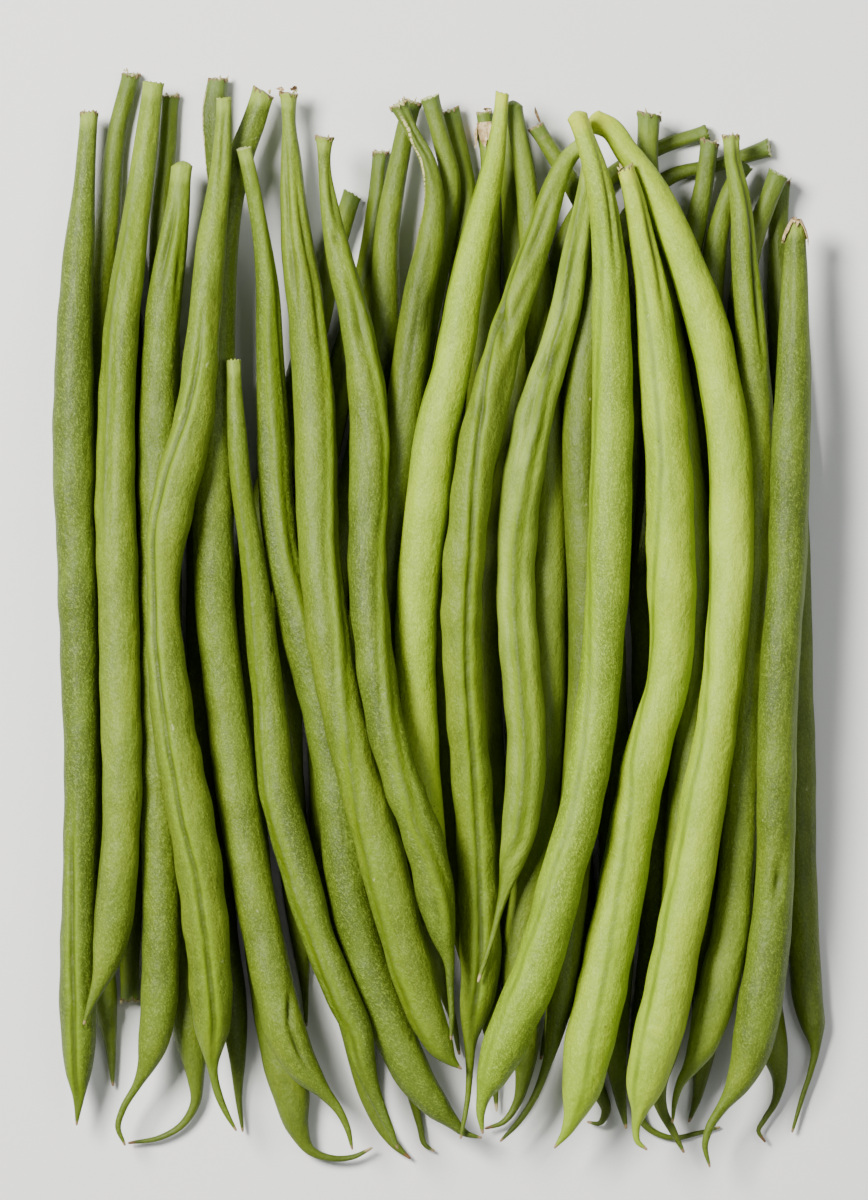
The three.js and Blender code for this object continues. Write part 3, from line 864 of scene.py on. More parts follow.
def climb(value: np.ndarray | float, start: float, end: float) -> np.ndarray:
    """How far a value has come from start to end, held between 0 and 1."""
    return np.clip((value - start) / (end - start), 0.0, 1.0)


def angle_between(turn: np.ndarray, other: np.ndarray | float) -> np.ndarray:
    """The angle from one to the other, between minus and plus half a turn."""
    return np.angle(np.exp(1j * (turn - other)))


def paint(mesh: bpy.types.Mesh, name: str, values: np.ndarray) -> None:
    """Writes a vector for each vertex to an attribute of the mesh."""
    layer = mesh.attributes.new(name, "FLOAT_VECTOR", "POINT")
    layer.data.foreach_set("vector", np.ascontiguousarray(values, dtype=np.float32).ravel())


def show(name: str, mesh: bpy.types.Mesh) -> bpy.types.Object:
    """Puts a finished mesh in the scene, on the heap's one body.

    Args:
        name: the piece's name.
        mesh: its mesh.

    Returns:
        The piece.
    """
    piece = bpy.data.objects.new(name, mesh)
    bpy.context.scene.collection.objects.link(piece)
    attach(piece, "root")
    return piece


def sleeve(segments: int, cuts: int, closed: bool) -> bmesh.types.BMesh:
    """An upright cylinder, 1 in radius and height, cut into even rings.

    Args:
        segments: how many corners each ring has.
        cuts: how many rings there are between its ends.
        closed: whether its ends are closed.

    Returns:
        The cylinder's mesh.
    """
    bm = bmesh.new()
    bmesh.ops.create_cone(
        bm, cap_ends=closed, segments=segments, radius1=1.0, radius2=1.0, depth=1.0
    )
    upright = [e for e in bm.edges if abs(e.verts[0].co.z - e.verts[1].co.z) > 0.5]
    bmesh.ops.subdivide_edges(bm, edges=upright, cuts=cuts)
    return bm


def dry_piece(
    name: str, bm: bmesh.types.BMesh, finish: bpy.types.Material
) -> bpy.types.Object:
    """Turns a small shape the right way out, keeps it over the floor and puts it on the heap.

    Args:
        name: the piece's name.
        bm: its shape in millimetres, which is freed.
        finish: its material.

    Returns:
        The piece.
    """
    bmesh.ops.recalc_face_normals(bm, faces=bm.faces)
    if bm.calc_volume(signed=True) < 0:
        bmesh.ops.reverse_faces(bm, faces=bm.faces)
    for v in bm.verts:
        v.co.z = max(v.co.z, 0.0)
    bmesh.ops.scale(bm, vec=(MM, MM, MM), verts=bm.verts)
    mesh = bpy.data.meshes.new(name)
    bm.to_mesh(mesh)
    bm.free()
    paint(mesh, "rind", np.array([v.co for v in mesh.vertices]) / MM)
    mesh.materials.append(finish)
    return show(name, mesh)


class Run:
    """The smooth middle line of a packed bean with its radius, from stem to tail."""

    STEP = 0.25
    SEARCH_STEP = 0.5
    MOST_ASIDE = 0.97

    def __init__(self, node: bpy.types.Object) -> None:
        """Reads the rings of a packed bean.

        Args:
            node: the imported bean.
        """
        self.stations = np.array([self.station(ring) for ring in self.rings(node)])
        steps = np.linalg.norm(np.diff(self.stations[:, :3], axis=0), axis=1)
        self.marks = np.concatenate(([0.0], np.cumsum(steps)))
        self.length = float(self.marks[-1])
        self.slopes = np.gradient(self.stations, self.marks, axis=0, edge_order=1)

    @staticmethod
    def rings(node: bpy.types.Object) -> list[list[Vector]]:
        """The corners of each ring of a packed bean, in millimetres, from stem to tail.

        Args:
            node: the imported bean, whose stem end is sunk in at its middle.

        Returns:
            The corners, ring by ring.

        Raises:
            ValueError: if a ring has too few or too many corners.
        """
        bm = bmesh.new()
        bm.from_mesh(node.data)
        bmesh.ops.remove_doubles(bm, verts=bm.verts, dist=1e-6)
        poles = [v for v in bm.verts if len(v.link_edges) == RING_CORNERS]
        layers: list[list[bmesh.types.BMVert]] = []
        for pole in poles:
            seen = {pole}
            layers = [[pole]]
            while True:
                ahead = {e.other_vert(v) for v in layers[-1] for e in v.link_edges} - seen
                if not ahead:
                    break
                seen |= ahead
                layers.append(list(ahead))
            first, second = (
                sum((v.co for v in layer), Vector()) / len(layer) for layer in layers[1:3]
            )
            if (pole.co - first).dot(second - first) > 0:
                break
        rings = [[v.co / MM for v in layer] for layer in layers[1:-1]]
        bm.free()
        if any(len(ring) != RING_CORNERS for ring in rings):
            raise ValueError(f"{node.name} isn't made of rings of {RING_CORNERS} corners")
        return rings

    @staticmethod
    def station(ring: list[Vector]) -> list[float]:
        """The middle and the radius of a ring, from the four corners at its sides."""
        sides = sorted(ring, key=lambda corner: corner.z)[2:6]
        middle = sum(sides, Vector()) / len(sides)
        radius = max((a - b).length for a in sides for b in sides) / 2
        return [*middle, radius]

    def at(self, places: np.ndarray) -> np.ndarray:
        """Middles and radii at those distances from the stem end.

        Args:
            places: distances along the bean, in millimetres.

        Returns:
            One row of x, y, z and radius for each place.
        """
        places = np.clip(places, 0.0, self.length)
        i = np.clip(np.searchsorted(self.marks, places, side="right") - 1, 0, len(self.marks) - 2)
        span = self.marks[i + 1] - self.marks[i]
        t = ((places - self.marks[i]) / span)[:, None]
        a, b = self.stations[i], self.stations[i + 1]
        p, q = self.slopes[i] * span[:, None], self.slopes[i + 1] * span[:, None]
        return (
            (2 * t**3 - 3 * t**2 + 1) * a
            + (t**3 - 2 * t**2 + t) * p
            + (3 * t**2 - 2 * t**3) * b
            + (t**3 - t**2) * q
        )

    def axes(self, places: np.ndarray) -> tuple[np.ndarray, np.ndarray, np.ndarray]:
        """Unit vectors along, to the side of and over the bean at those places."""
        ahead = self.at(places + self.STEP)[:, :3] - self.at(places - self.STEP)[:, :3]
        along = ahead / np.linalg.norm(ahead, axis=1)[:, None]
        side = np.cross(along, (0.0, 0.0, 1.0))
        side /= np.linalg.norm(side, axis=1)[:, None]
        return along, side, np.cross(side, along)

    def perch(self, place: float) -> tuple[Vector, float, Vector, Vector, Vector]:
        """The middle, the radius and the three unit vectors at one place."""
        places = np.array([place])
        row = self.at(places)[0]
        along, side, over = (Vector(axis[0]) for axis in self.axes(places))
        return Vector(row[:3]), float(row[3]), along, side, over

    def surface(
        self, places: np.ndarray, turn: np.ndarray, radius: np.ndarray
    ) -> tuple[np.ndarray, np.ndarray]:
        """Points round the bean.

        Args:
            places: distances from the stem end.
            turn: angles round the bean, from its top toward its side.
            radius: distances from its middle line.

        Returns:
            The points, and the unit vector along the bean at each.
        """
        along, side, over = self.axes(places)
        aside, above = (radius * np.sin(turn))[:, None], (radius * np.cos(turn))[:, None]
        return self.at(places)[:, :3] + side * aside + over * above, along

    def locate(self, spot: Point) -> tuple[float, float]:
        """Where on the bean a spot in plan lies.

        Args:
            spot: x and y of the spot, in millimetres.

        Returns:
            The distance from the stem end, and the angle from the bean's top toward its side.
        """
        places = np.arange(0.0, self.length, self.SEARCH_STEP)
        rows = self.at(places)
        nearest = int(np.argmin(np.hypot(rows[:, 0] - spot[0], rows[:, 1] - spot[1])))
        place = places[nearest : nearest + 1]
        _, side, _ = self.axes(place)
        aside = float(np.dot(np.array(spot) - rows[nearest, :2], side[0, :2])) / rows[nearest, 3]
        return float(place[0]), math.asin(max(-self.MOST_ASIDE, min(self.MOST_ASIDE, aside)))


class PodBlank:
    """A straight pod of unit size that every bean is shaped from."""

    SEGMENTS = 64
    RINGS = 150
    RIMS = (0.16, 0.2, 0.25)

    def __init__(self) -> None:
        """Builds the blank and reads where its vertices lie."""
        self.mesh = self.build()
        spots = np.array([v.co for v in self.mesh.vertices])
        self.share = spots[:, 2] + 0.5
        self.turn = np.arctan2(spots[:, 1], spots[:, 0])
        self.outward = np.minimum(np.hypot(spots[:, 0], spots[:, 1]), 1.0)

    def build(self) -> bpy.types.Mesh:
        """A closed cylinder with even rings, whose ends are inset and drawn to a point."""
        bm = sleeve(self.SEGMENTS, self.RINGS - 1, closed=True)
        ends = [f for f in bm.faces if len(f.verts) == self.SEGMENTS]
        for end in ends:
            end.material_index = 1 if end.calc_center_median().z < 0 else 0
        for rim in self.RIMS:
            bmesh.ops.inset_region(bm, faces=ends, thickness=rim, use_even_offset=True)
        bmesh.ops.poke(bm, faces=ends)
        bmesh.ops.recalc_face_normals(bm, faces=bm.faces)
        for face in bm.faces:
            face.smooth = True
        mesh = bpy.data.meshes.new("pod_blank")
        bm.to_mesh(mesh)
        bm.free()
        return mesh


@dataclass
class Pod:
    """One bean: a pod with its cut stem end, seam, seeds, creases and thin tail.

    Attributes:
        node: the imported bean.
        skin: its skin.
        look: what sets its looks apart.
        rng: where its random draws come from.
    """

    node: bpy.types.Object
    skin: Skin
    look: Look
    rng: random.Random

    CROWD = 0.42
    SLACK = 0.12
    DRIFT = 400.0
    TONE_RIPPLE = 70.0
    TONE_SWAY = 0.3

    # Radii of neck, body and tail, and where on the pod the tail may thin, in millimetres.
    NECK_WIDE = 2.3
    BODY_WIDE = 3.1
    TAIL_WIDE = 2.4
    THREAD_WIDE = (2.0, 0.6)
    THREAD_FROM = (40.0, 60.0)
    TIP_LENGTH = 3.0

    # The seam: its strength by kind, over 1 where shade is painted down its core, and how fast it
    # fades out past its ends.
    SEAM_STRENGTH = {Seam.HIDDEN: 0.9, Seam.LINE: 0.9, Seam.GROOVE: 1.5, Seam.RIDGE: 1.1}
    PARCHED_STRENGTH = -1.0
    SEAM_FADE = 12.0
    FAR = 99.0

    # The relief: ripples by wavelength and share of the radius, then the neck's forms.
    SEED_PITCH = 9.2
    SEED_RIPPLE = 40.0
    SEED_DRIFT = 1.3
    SAG_RIPPLE = 38.0
    SAG = 0.025
    BULGE_RIPPLE = 26.0
    BULGE = 0.02
    BULGE_HEADINGS = (0.0, 2.1, 4.2)
    FLUTES = 5
    FLUTE_TWIST = 0.05
    FLUTE_DEPTH = 0.05
    FLUTE_REACH = 13.0
    WAIST_DEPTH = 0.11
    WAIST_START = 1.3
    WAIST_REACH = 8.0
    NECK_REACH = 16.0
    # The crease depth at which the shade painted into it is full.
    DEEP_CREASE = 0.8

    # The ends: the cut's form, its brown rim, the brown ring of a husked end, and the tip.
    TEETH_RIPPLE = 2.2
    TEETH_TURN = 1.6
    TEETH = {Stem.CLEAN: 0.35, Stem.DOMED: 0.15, Stem.RAGGED: 0.9, Stem.HUSKED: 0.6}
    STEEP = (0.1, 0.45)
    DISH = 0.35
    DOME = -0.42
    SLIP_REACH = 0.7
    SLIP_END = 4.0
    BROWN = {Stem.CLEAN: 0.45, Stem.DOMED: 0.3, Stem.RAGGED: 0.75, Stem.HUSKED: 0.75}
    BROWN_REACH = 0.55
    RING_AT = 2.3
    RING_WIDTH = 0.4
    TIP_REACH = {Tail.GREEN: 0.3, Tail.BROWN: 1.0, Tail.STRAW: 1.1}
    TIP_STRAW = {Tail.GREEN: 0.35, Tail.BROWN: 0.0, Tail.STRAW: 1.0}

    def __post_init__(self) -> None:
        """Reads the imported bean's run and settles where its seam lies."""
        self.run = Run(self.node)
        self.seam_places, self.seam_angles = self.lay_seam()

    def lay_seam(self) -> tuple[np.ndarray, np.ndarray]:
        """Where the seam lies round the pod, at a few places along it."""
        if self.look.seam:
            found = sorted(self.run.locate(spot) for spot in self.look.seam)
            return np.array([place for place, _ in found]), np.array([angle for _, angle in found])
        start = self.rng.choice((-1, 1)) * self.rng.uniform(1.2, 1.7)
        end = start + self.rng.uniform(-0.4, 0.4)
        return np.array([0.0, self.run.length]), np.array([start, end])

    def seam_shown(self, place: np.ndarray) -> np.ndarray:
        """How plainly the seam shows, from 0 to 1, fading out past its first and last points."""
        if self.look.kind is Seam.HIDDEN:
            return np.zeros_like(place)
        before = (self.seam_places[0] - place) / self.SEAM_FADE
        after = (place - self.seam_places[-1]) / self.SEAM_FADE
        return np.clip(1.0 - np.maximum(before, after), 0.0, 1.0)

    def build(self, blank: PodBlank, finishes: Finishes) -> bpy.types.Object:
        """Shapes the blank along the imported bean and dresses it.

        Args:
            blank: the straight pod to shape.
            finishes: the heap's finishes.

        Returns:
            The finished pod.
        """
        share = blank.share - self.CROWD * np.sin(ROUND * blank.share) / ROUND
        place = share * self.run.length
        widest = self.run.at(place)[:, 3]
        off = angle_between(blank.turn, np.interp(place, self.seam_places, self.seam_angles))
        shown = self.seam_shown(place)

        sink = self.sink(place, widest, blank.turn, off, shown)
        # The dents sink the skin; their second value is the shade painted into them.
        dents, crease_shade = self.dents(place, widest, blank.turn)
        radius = widest - np.maximum(sink + dents, -self.SLACK)
        radius = radius * self.narrowing(place, widest) * blank.outward
        slip, dry = self.ends(blank, place, widest)
        spots, along = self.run.surface(place, blank.turn, radius)
        spots += along * slip[:, None]
        spots[:, 2] = np.maximum(spots[:, 2], 0.0)

        name = f"{self.node.name}_pod"
        mesh = blank.mesh.copy()
        mesh.name = name
        mesh.vertices.foreach_set("co", (spots * MM).ravel())
        drifted = place + self.rng.uniform(0.0, self.DRIFT)
        sway = self.TONE_SWAY * Ripple(self.rng, self.TONE_RIPPLE).at(place)
        # The tone and the fade hold painted light and shade as well as each bean's own green.
        tone = self.look.tone + self.look.fade * (0.5 - share) + sway
        straw = np.full_like(place, self.TIP_STRAW[self.look.tail])
        strength = self.SEAM_STRENGTH[self.look.kind]
        if self.look.parched:
            strength = self.PARCHED_STRENGTH
        thinned = 1 - climb(widest, 0.0, self.TAIL_WIDE)
        end = np.where(share < 0.5, hump(place, self.NECK_REACH), -thinned)
        paint(mesh, "rind", np.column_stack((radius * np.sin(off), radius * np.cos(off), drifted)))
        paint(mesh, "marks", np.column_stack((strength * shown, crease_shade, end)))
        paint(mesh, "look", np.column_stack((tone, dry, straw)))
        skin = finishes.skins[self.skin]
        mesh.materials.append(skin)
        mesh.materials.append(skin if self.look.stem is Stem.DOMED else finishes.flesh)
        mesh.update()
        pod = show(name, mesh)
        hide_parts(self.node.name)
        return pod

    def sink(
        self,
        place: np.ndarray,
        widest: np.ndarray,
        turn: np.ndarray,
        off: np.ndarray,
        shown: np.ndarray,
    ) -> np.ndarray:
        """How far the skin sinks between seeds, along seams and round the neck.

        Args:
            place: distance from the stem end.
            widest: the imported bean's radius there.
            turn: the angle round the pod, from its top.
            off: the angle from its seam.
            shown: how plainly the seam shows.

        Returns:
            The depth in millimetres, below zero where the skin swells.
        """
        sink = self.seeds(place, widest, off) * climb(widest, self.NECK_WIDE, self.BODY_WIDE)
        sink += self.SAG * widest * Ripple(self.rng, self.SAG_RIPPLE).at(place)
        for heading in self.BULGE_HEADINGS:
            swell = Ripple(self.rng, self.BULGE_RIPPLE).at(place + 3.0 * heading)
            sink += self.BULGE * widest * swell * np.cos(turn - heading)
        sink += self.seam_sink(off, widest, shown) * climb(widest, 0.0, self.BODY_WIDE)
        twist = self.FLUTE_TWIST * place + self.rng.uniform(0, 6)
        flutes = 0.5 + 0.5 * np.cos(self.FLUTES * turn + twist)
        sink += self.FLUTE_DEPTH * widest * (flutes - 0.4) * hump(place, self.FLUTE_REACH)
        waist = (1 - np.exp(-place / self.WAIST_START)) * hump(place, self.WAIST_REACH)
        return sink + self.WAIST_DEPTH * widest * waist

    def seeds(self, place: np.ndarray, widest: np.ndarray, off: np.ndarray) -> np.ndarray:
        """How far the pod draws in between its seeds, most on the two sides that they press."""
        drift = self.SEED_DRIFT * Ripple(self.rng, self.SEED_RIPPLE).at(place)
        wave = 0.5 + 0.5 * np.cos(ROUND * (place + drift) / self.SEED_PITCH)
        return 2 * self.look.seeds * widest * wave * (0.45 + 0.55 * np.sin(off) ** 2)

    def seam_sink(self, off: np.ndarray, widest: np.ndarray, shown: np.ndarray) -> np.ndarray:
        """How far the skin sinks along and beside the two seams."""
        front = np.where(np.cos(off) > 0, widest * np.sin(off), self.FAR)
        back = np.where(np.cos(off) < 0, widest * np.sin(off), self.FAR)
        sink = 0.09 * hump(back, 0.4)
        if self.look.kind is Seam.GROOVE:
            lips = hump(np.abs(front) - 1.2, 0.7)
            return sink + shown * (0.42 * hump(front, 0.45) + 0.14 * (1 - lips))
        if self.look.kind is Seam.RIDGE:
            hollow = hump(np.abs(front) - 1.3, 0.6)
            return sink + shown * (0.2 * (1 - hump(front, 0.65)) + 0.2 * hollow)
        return sink + 0.09 * shown * hump(front, 0.5)

    def dents(
        self, place: np.ndarray, widest: np.ndarray, turn: np.ndarray
    ) -> tuple[np.ndarray, np.ndarray]:
        """How deep the creases are in millimetres, and how much shade is painted into them, from 0
        to 1.
        """
        sink, shade = np.zeros_like(place), np.zeros_like(place)
        for fold in self.look.creases:
            middle, angle = self.run.locate(fold.at)
            ahead = place - middle
            aside = widest * angle_between(turn, angle) - fold.lean * ahead
            mask = hump(ahead, fold.length) * hump(aside, fold.width)
            sink += fold.depth * mask
            shade = np.maximum(shade, mask * climb(fold.depth, 0.0, self.DEEP_CREASE))
        return sink, shade

    def narrowing(self, place: np.ndarray, widest: np.ndarray) -> np.ndarray:
        """The share of its radius that the pod keeps at a thin tail and a pointed stem end."""
        left = climb(self.run.length - place, 0.0, self.TIP_LENGTH)
        thin = climb(widest, *self.THREAD_WIDE) * climb(place, *self.THREAD_FROM)
        return (0.7 + 0.3 * np.sqrt(left)) * (1 - 0.22 * thin) * self.taper(place)

    def taper(self, place: np.ndarray) -> np.ndarray:
        """The share of its radius that the pod keeps, under 1 where the stem end is pointed."""
        if not self.look.taper:
            return np.ones_like(place)
        return 0.38 + 0.62 * np.sin(0.5 * math.pi * climb(place, 0.0, self.look.taper)) ** 0.8

    def ends(
        self, blank: PodBlank, place: np.ndarray, widest: np.ndarray
    ) -> tuple[np.ndarray, np.ndarray]:
        """How far the end vertices slip along the bean, and how dry the skin is.

        Args:
            blank: the pod that is shaped.
            place: distance from the stem end.
            widest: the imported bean's radius there.

        Returns:
            The slip in millimetres and the dryness from 0 to 1.
        """
        stem = self.look.stem
        teeth = Ripple(self.rng, self.TEETH_RIPPLE).at(blank.turn * self.TEETH_TURN)
        steep, low = self.look.cut or (self.rng.uniform(*self.STEEP), self.rng.uniform(0, 6.28))
        slant = steep * widest * (1 + np.cos(blank.turn - low))
        notch = self.TEETH[stem] * np.abs(teeth) + slant * 0.5
        crown = self.DOME * widest if stem is Stem.DOMED else self.DISH
        inward = 1 - blank.outward**2
        slip = (notch * blank.outward + crown * inward) * np.exp(-place / self.SLIP_REACH)
        slip *= (place < self.SLIP_END) | (blank.share <= 1e-6)
        slip = np.where(blank.share >= 1 - 1e-6, widest * np.sqrt(np.maximum(0.0, inward)), slip)

        reach = np.exp(-place / self.BROWN_REACH)
        rim = self.BROWN[stem] * reach * (0.35 + 0.65 * blank.outward)
        if stem is Stem.HUSKED and not self.look.taper:
            rim = np.maximum(rim, 0.7 * hump(place - self.RING_AT, self.RING_WIDTH))
        return slip, np.maximum(rim, hump(self.run.length - place, self.TIP_REACH[self.look.tail]))


@dataclass(frozen=True)
class HuskScrap:
    """A shrivelled scrap of flower leaf that hangs on a stem end.

    Attributes:
        length: how far it stands out past the stem end, below zero where it lies back on the pod.
        width: its width.
        angle: where it hangs round the pod, from its top toward its side.
        outward: how far it curls off the pod, as a share of its length.
    """

    length: float
    width: float
    angle: float
    outward: float

    THICKNESS = 0.12
    CURL = 1.3
    RIPPLE = 1.1
    ROOT = 0.2
    SEAT = 0.75

    def build(
        self, name: str, pod: Pod, rng: random.Random, finishes: Finishes
    ) -> bpy.types.Object:
        """Crumples a small leaf and hangs it on the pod.

        Args:
            name: the scrap's name.
            pod: the bean that keeps it.
            rng: where its random draws come from.
            finishes: the heap's finishes.

        Returns:
            The finished scrap.
        """
        middle, radius, along, side, over = pod.run.perch(self.ROOT)
        out = side * math.sin(self.angle) + over * math.cos(self.angle)
        flat = out.cross(along)
        root = middle + out * radius * self.SEAT
        bm = bmesh.new()
        bmesh.ops.create_grid(bm, x_segments=6, y_segments=12, size=0.5)
        rise, sway, _ = (Ripple(rng, self.RIPPLE) for _ in range(3))
        for v in bm.verts:
            run = v.co.y + 0.5
            taper = math.sin(math.pi * min(0.12 + 0.86 * run, 1.0)) ** 0.6
            curl = self.CURL * run
            spot = np.array(run + 0.9 * v.co.x)
            lift = 0.35 * float(rise.at(spot)) + abs(v.co.x) * 0.9 * taper
            aside = v.co.x * taper + 0.2 * float(sway.at(spot))
            ahead = self.length * math.sin(curl) / self.CURL
            away = self.length * (1 - math.cos(curl)) / self.CURL * self.outward
            away += 0.6 * lift * self.width
            v.co = root - along * ahead + out * away + flat * (aside * self.width)
        bmesh.ops.solidify(bm, geom=list(bm.faces), thickness=self.THICKNESS)
        for face in bm.faces:
            face.smooth = True
        return dry_piece(name, bm, finishes.husk)


@dataclass(frozen=True)
class Calyx:
    """The dried flower cup that still hugs a stem end, torn into lobes along its lower edge.

    Attributes:
        start: where it begins, from the stem end.
        length: how far its lobes reach.
        flare: how far its lower edge stands off the pod.
        lobes: how many lobes it has.
        turn: the angle of one of them round the pod, from its top.
        sharp: how pointed they are.
    """

    start: float
    length: float
    flare: float
    lobes: int
    turn: float
    sharp: float

    SEGMENTS = 40
    STEPS = 8
    THICKNESS = 0.1
    GAP = 0.06
    FLOOR_GAP = 0.27

    def build(self, pod: Pod, rng: random.Random, finishes: Finishes) -> bpy.types.Object:
        """Draws a short sleeve down over the stem end and tears its edge.

        Args:
            pod: the bean that keeps it.
            rng: where its random draws come from.
            finishes: the heap's finishes.

        Returns:
            The finished cup.
        """
        bm = sleeve(self.SEGMENTS, self.STEPS, closed=False)
        spots = np.array([v.co for v in bm.verts])
        turn, share = np.arctan2(spots[:, 1], spots[:, 0]), spots[:, 2] + 0.5
        lobe = np.abs(np.cos(0.5 * self.lobes * (turn - self.turn))) ** self.sharp
        torn = 0.22 * Ripple(rng, 0.9).at(turn)
        place = self.start + self.length * share * np.maximum(0.15 + 0.85 * lobe + torn, 0.1)
        radius = pod.run.at(place)[:, 3] * pod.taper(place) + self.GAP
        radius += self.flare * share**2 + 0.12 * share * Ripple(rng, 1.1).at(turn)
        rows, _ = pod.run.surface(place, turn, radius)
        rows[:, 2] = np.maximum(rows[:, 2], self.FLOOR_GAP + 0.1 * rows[:, 2])
        for v, spot in zip(bm.verts, rows):
            v.co = spot
        bmesh.ops.recalc_face_normals(bm, faces=bm.faces)
        bmesh.ops.solidify(bm, geom=list(bm.faces), thickness=self.THICKNESS)
        return dry_piece(f"calyx_{pod.node.name}", bm, finishes.straw)


@dataclass(frozen=True)
class Fray:
    """The torn fibres that stand out round a ragged stem end, with sizes in millimetres."""

    count: int = 3
    length: tuple[float, float] = (0.3, 0.95)
    thick: tuple[float, float] = (0.16, 0.34)
    tip: float = 0.03
    seat: float = 0.82

    def build(self, pod: Pod, rng: random.Random, finishes: Finishes) -> bpy.types.Object:
        """Sets short bent splinters on the rim of the cut.

        Args:
            pod: the bean that they stand on.
            rng: where their random draws come from.
            finishes: the heap's finishes.

        Returns:
            The finished fibres.
        """
        middle, radius, along, side, over = pod.run.perch(0.0)
        bm = bmesh.new()
        for number in range(self.count):
            angle = ROUND * (number + rng.uniform(-0.9, 0.9)) / self.count
            out = side * math.sin(angle) + over * math.cos(angle)
            length, thick = rng.uniform(*self.length), rng.uniform(*self.thick)
            made = bmesh.ops.create_cone(
                bm, cap_ends=True, segments=6, radius1=thick, radius2=self.tip, depth=length
            )["verts"]
            aim = (out * rng.uniform(0.1, 0.9) - along).normalized()
            turn = aim.to_track_quat("Z", "Y").to_matrix().to_4x4()
            root = middle + out * radius * self.seat + along * rng.uniform(0.3, 0.6)
            shift = Matrix.Translation(root + aim * length / 2)
            bmesh.ops.transform(bm, matrix=shift @ turn, verts=made)
        return dry_piece(f"fray_{pod.node.name}", bm, finishes.fibre)


CUPS = (
    ("bean_08", Calyx(start=2.0, length=4.0, flare=0.6, lobes=5, turn=1.4, sharp=1.2)),
    ("bean_29", Calyx(start=0.05, length=3.9, flare=0.12, lobes=2, turn=1.57, sharp=3.0)),
)
SCRAPS = (
    ("bean_08", HuskScrap(length=0.6, width=1.2, angle=-0.4, outward=0.3)),
    ("bean_07", HuskScrap(length=3.4, width=0.6, angle=-1.0, outward=0.4)),
    ("bean_07", HuskScrap(length=-4.6, width=0.35, angle=-0.3, outward=0.15)),
    ("bean_29", HuskScrap(length=0.6, width=0.9, angle=0.2, outward=0.2)),
    ("bean_33", HuskScrap(length=0.9, width=1.3, angle=0.9, outward=0.5)),
    ("bean_33", HuskScrap(length=1.0, width=1.2, angle=-0.7, outward=0.6)),
)


@dataclass
class Heap:
    """The whole heap of beans.

    Attributes:
        record: the part's record.
        nodes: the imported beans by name.
        finishes: the heap's finishes.
        pods: the dressed beans, by the same names.
    """

    record: dict
    nodes: dict[str, bpy.types.Object]
    finishes: Finishes
    pods: dict[str, Pod] = field(default_factory=dict)

    def build(self) -> None:
        """Shapes and dresses every bean, then adds torn fibres and dried scraps."""
        blank = PodBlank()
        for row in self.record["subparts"]:
            name = row["node"]
            pod = Pod(
                node=self.nodes[name],
                skin=Skin(row["material_slot"]),
                look=LOOKS.get(name, Look()),
                rng=random.Random(f"{SEED} {name}"),
            )
            self.report(pod.build(blank, self.finishes))
            self.pods[name] = pod
        bpy.data.meshes.remove(blank.mesh)
        for name, pod in self.pods.items():
            if pod.look.stem is Stem.RAGGED:
                self.report(Fray().build(pod, random.Random(f"{SEED} fray {name}"), self.finishes))
        self.hang_scraps()

    def hang_scraps(self) -> None:
        """Hangs the dried flower leaves where the beans keep them."""
        rng = random.Random(SEED)
        for bean, cup in CUPS:
            self.report(cup.build(self.pods[bean], rng, self.finishes))
        for bean, scrap in SCRAPS:
            number = sum(o.name.startswith(f"husk_{bean}") for o in bpy.data.objects)
            name = f"husk_{bean}_{number}"
            self.report(scrap.build(name, self.pods[bean], rng, self.finishes))

    @staticmethod
    def report(piece: bpy.types.Object) -> None:
        """Logs a finished piece."""
        LOG.info("%s: %d faces", piece.name, len(piece.data.polygons))


@dataclass(frozen=True)
class Lamp:
    """A soft square light that faces the heap.

    Attributes:
        name: the light's name.
        spot: where it hangs, in millimetres.
        size: its side, in millimetres.
        power: its power in watts.
        colour: its colour.
    """

    name: str
    spot: tuple[float, float, float]
    size: float
    power: float
    colour: Colour

    def hang(self) -> None:
        """Hangs the light."""
        data = bpy.data.lights.new(self.name, "AREA")
        data.shape = "SQUARE"
        data.size = self.size * MM
        data.energy = self.power
        data.color = self.colour
        light = bpy.data.objects.new(self.name, data)
        spot = Vector(self.spot)
        turn = spot.to_track_quat("Z", "Y").to_matrix().to_4x4()
        light.matrix_world = Matrix.Translation(spot * MM) @ turn
        bpy.context.scene.collection.objects.link(light)


LAMPS = (
    Lamp("key_light", (-430.0, 270.0, 720.0), 300.0, 20.0, (1.0, 0.985, 0.95)),
    Lamp("fill_light", (400.0, 60.0, 760.0), 420.0, 2.2, (0.96, 0.98, 1.0)),
    Lamp("tail_light", (0.0, -560.0, 640.0), 420.0, 0.6, (1.0, 1.0, 1.0)),
)


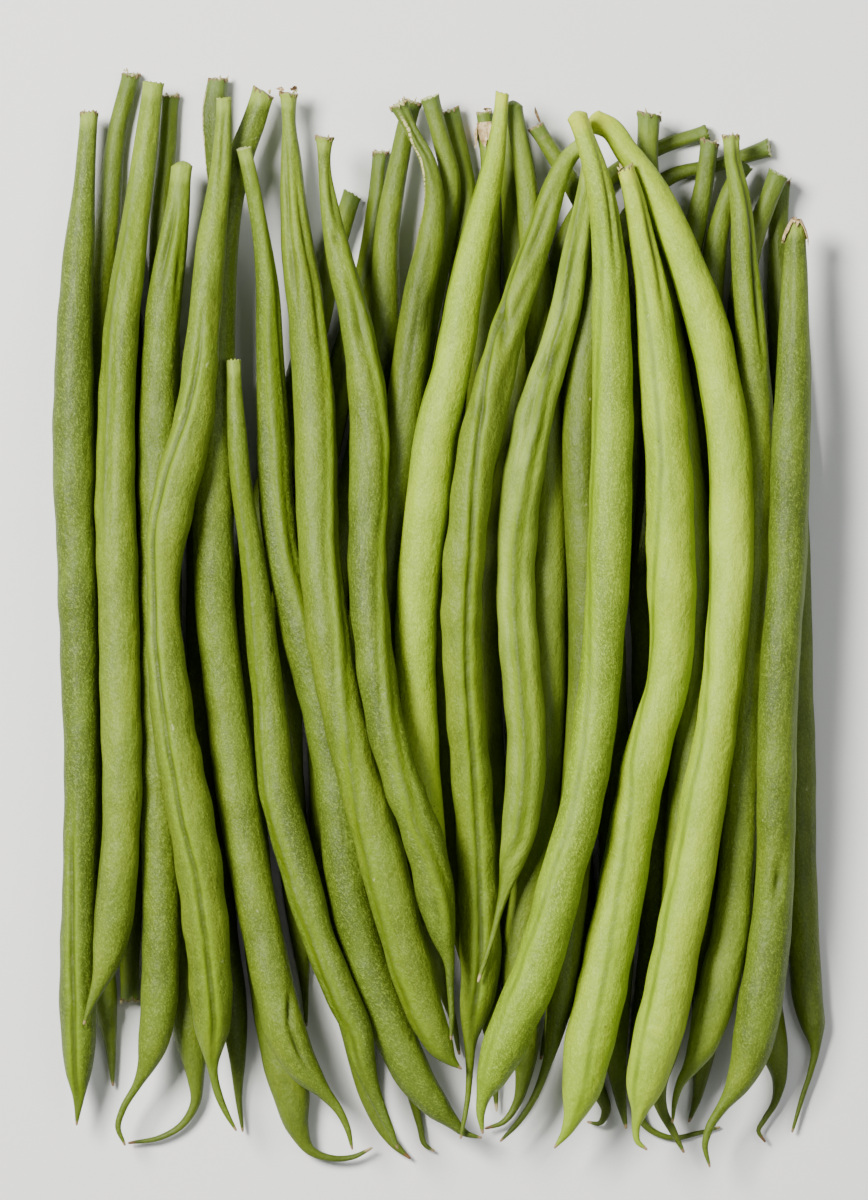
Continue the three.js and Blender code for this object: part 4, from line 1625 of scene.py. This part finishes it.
@dataclass
class Studio:
    """A pale floor, soft lights and a camera straight above the heap.

    Attributes:
        middle: the middle of the picture, in millimetres.
        sharp_height: the height at which the picture has its full measure.
        distance: how far above that height the camera stands.
        picture_height: what the picture's height takes in there.
        sensor: the sensor's size.
        air_colour: the colour of the light from all sides.
        air_strength: its strength.
        floor_reach: half the floor's side, in metres.
        floor_gap: how far the floor lies below the heap, in millimetres.
        floor_grain: cells of the floor's grain for each metre.
    """

    middle: Point
    sharp_height: float = 14.0
    distance: float = 1500.0
    picture_height: float = 190.8
    sensor: float = 36.0
    air_colour: Colour = (0.93, 0.96, 1.0)
    air_strength: float = 0.065
    floor_reach: float = 3.0
    floor_gap: float = 0.02
    floor_grain: float = 900.0

    def build(self) -> None:
        """Sets the camera, the floor and the lights."""
        self.set_camera()
        self.lay_floor()
        for lamp in LAMPS:
            lamp.hang()
        world = bpy.data.worlds.new("studio_air")
        world.use_nodes = True
        air = world.node_tree.nodes["Background"]
        air.inputs["Color"].default_value = (*self.air_colour, 1.0)
        air.inputs["Strength"].default_value = self.air_strength
        bpy.context.scene.world = world

    def set_camera(self) -> None:
        """Looks straight down on the heap, its stem ends at the top of the picture."""
        camera = bpy.data.cameras.new("camera")
        camera.sensor_width = self.sensor
        camera.lens = self.sensor * self.distance / self.picture_height
        camera.clip_start = 0.05
        camera.clip_end = 20.0
        camera.dof.use_dof = False
        eye = bpy.data.objects.new("camera", camera)
        eye.location = Vector((*self.middle, self.sharp_height + self.distance)) * MM
        bpy.context.scene.collection.objects.link(eye)
        bpy.context.scene.camera = eye

    def lay_floor(self) -> None:
        """Lays a wide plain floor under the heap."""
        bm = bmesh.new()
        bmesh.ops.create_grid(bm, x_segments=8, y_segments=8, size=self.floor_reach)
        mesh = bpy.data.meshes.new("floor")
        bm.to_mesh(mesh)
        bm.free()
        w = Wiring("pale_floor")
        coordinates = w.add("ShaderNodeTexCoord").outputs["Object"]
        grain = w.noise(coordinates, 3.0, 0.5, self.floor_grain)
        colour = w.blend(grain, (0.80, 0.80, 0.79), (0.83, 0.83, 0.82))
        mesh.materials.append(w.finish(colour, 0.7, w.times(grain, 0.01)))
        floor = bpy.data.objects.new("floor", mesh)
        floor.location.z = -self.floor_gap * MM
        bpy.context.scene.collection.objects.link(floor)


def main() -> None:
    """Builds the studio and the heap."""
    logging.basicConfig(level=logging.INFO, format="%(message)s")
    Studio(middle=(-0.97, 2.65)).build()
    Heap(record=frame["record"], nodes=frame["nodes"], finishes=Finishes()).build()


if __name__ == "__main__":
    main()
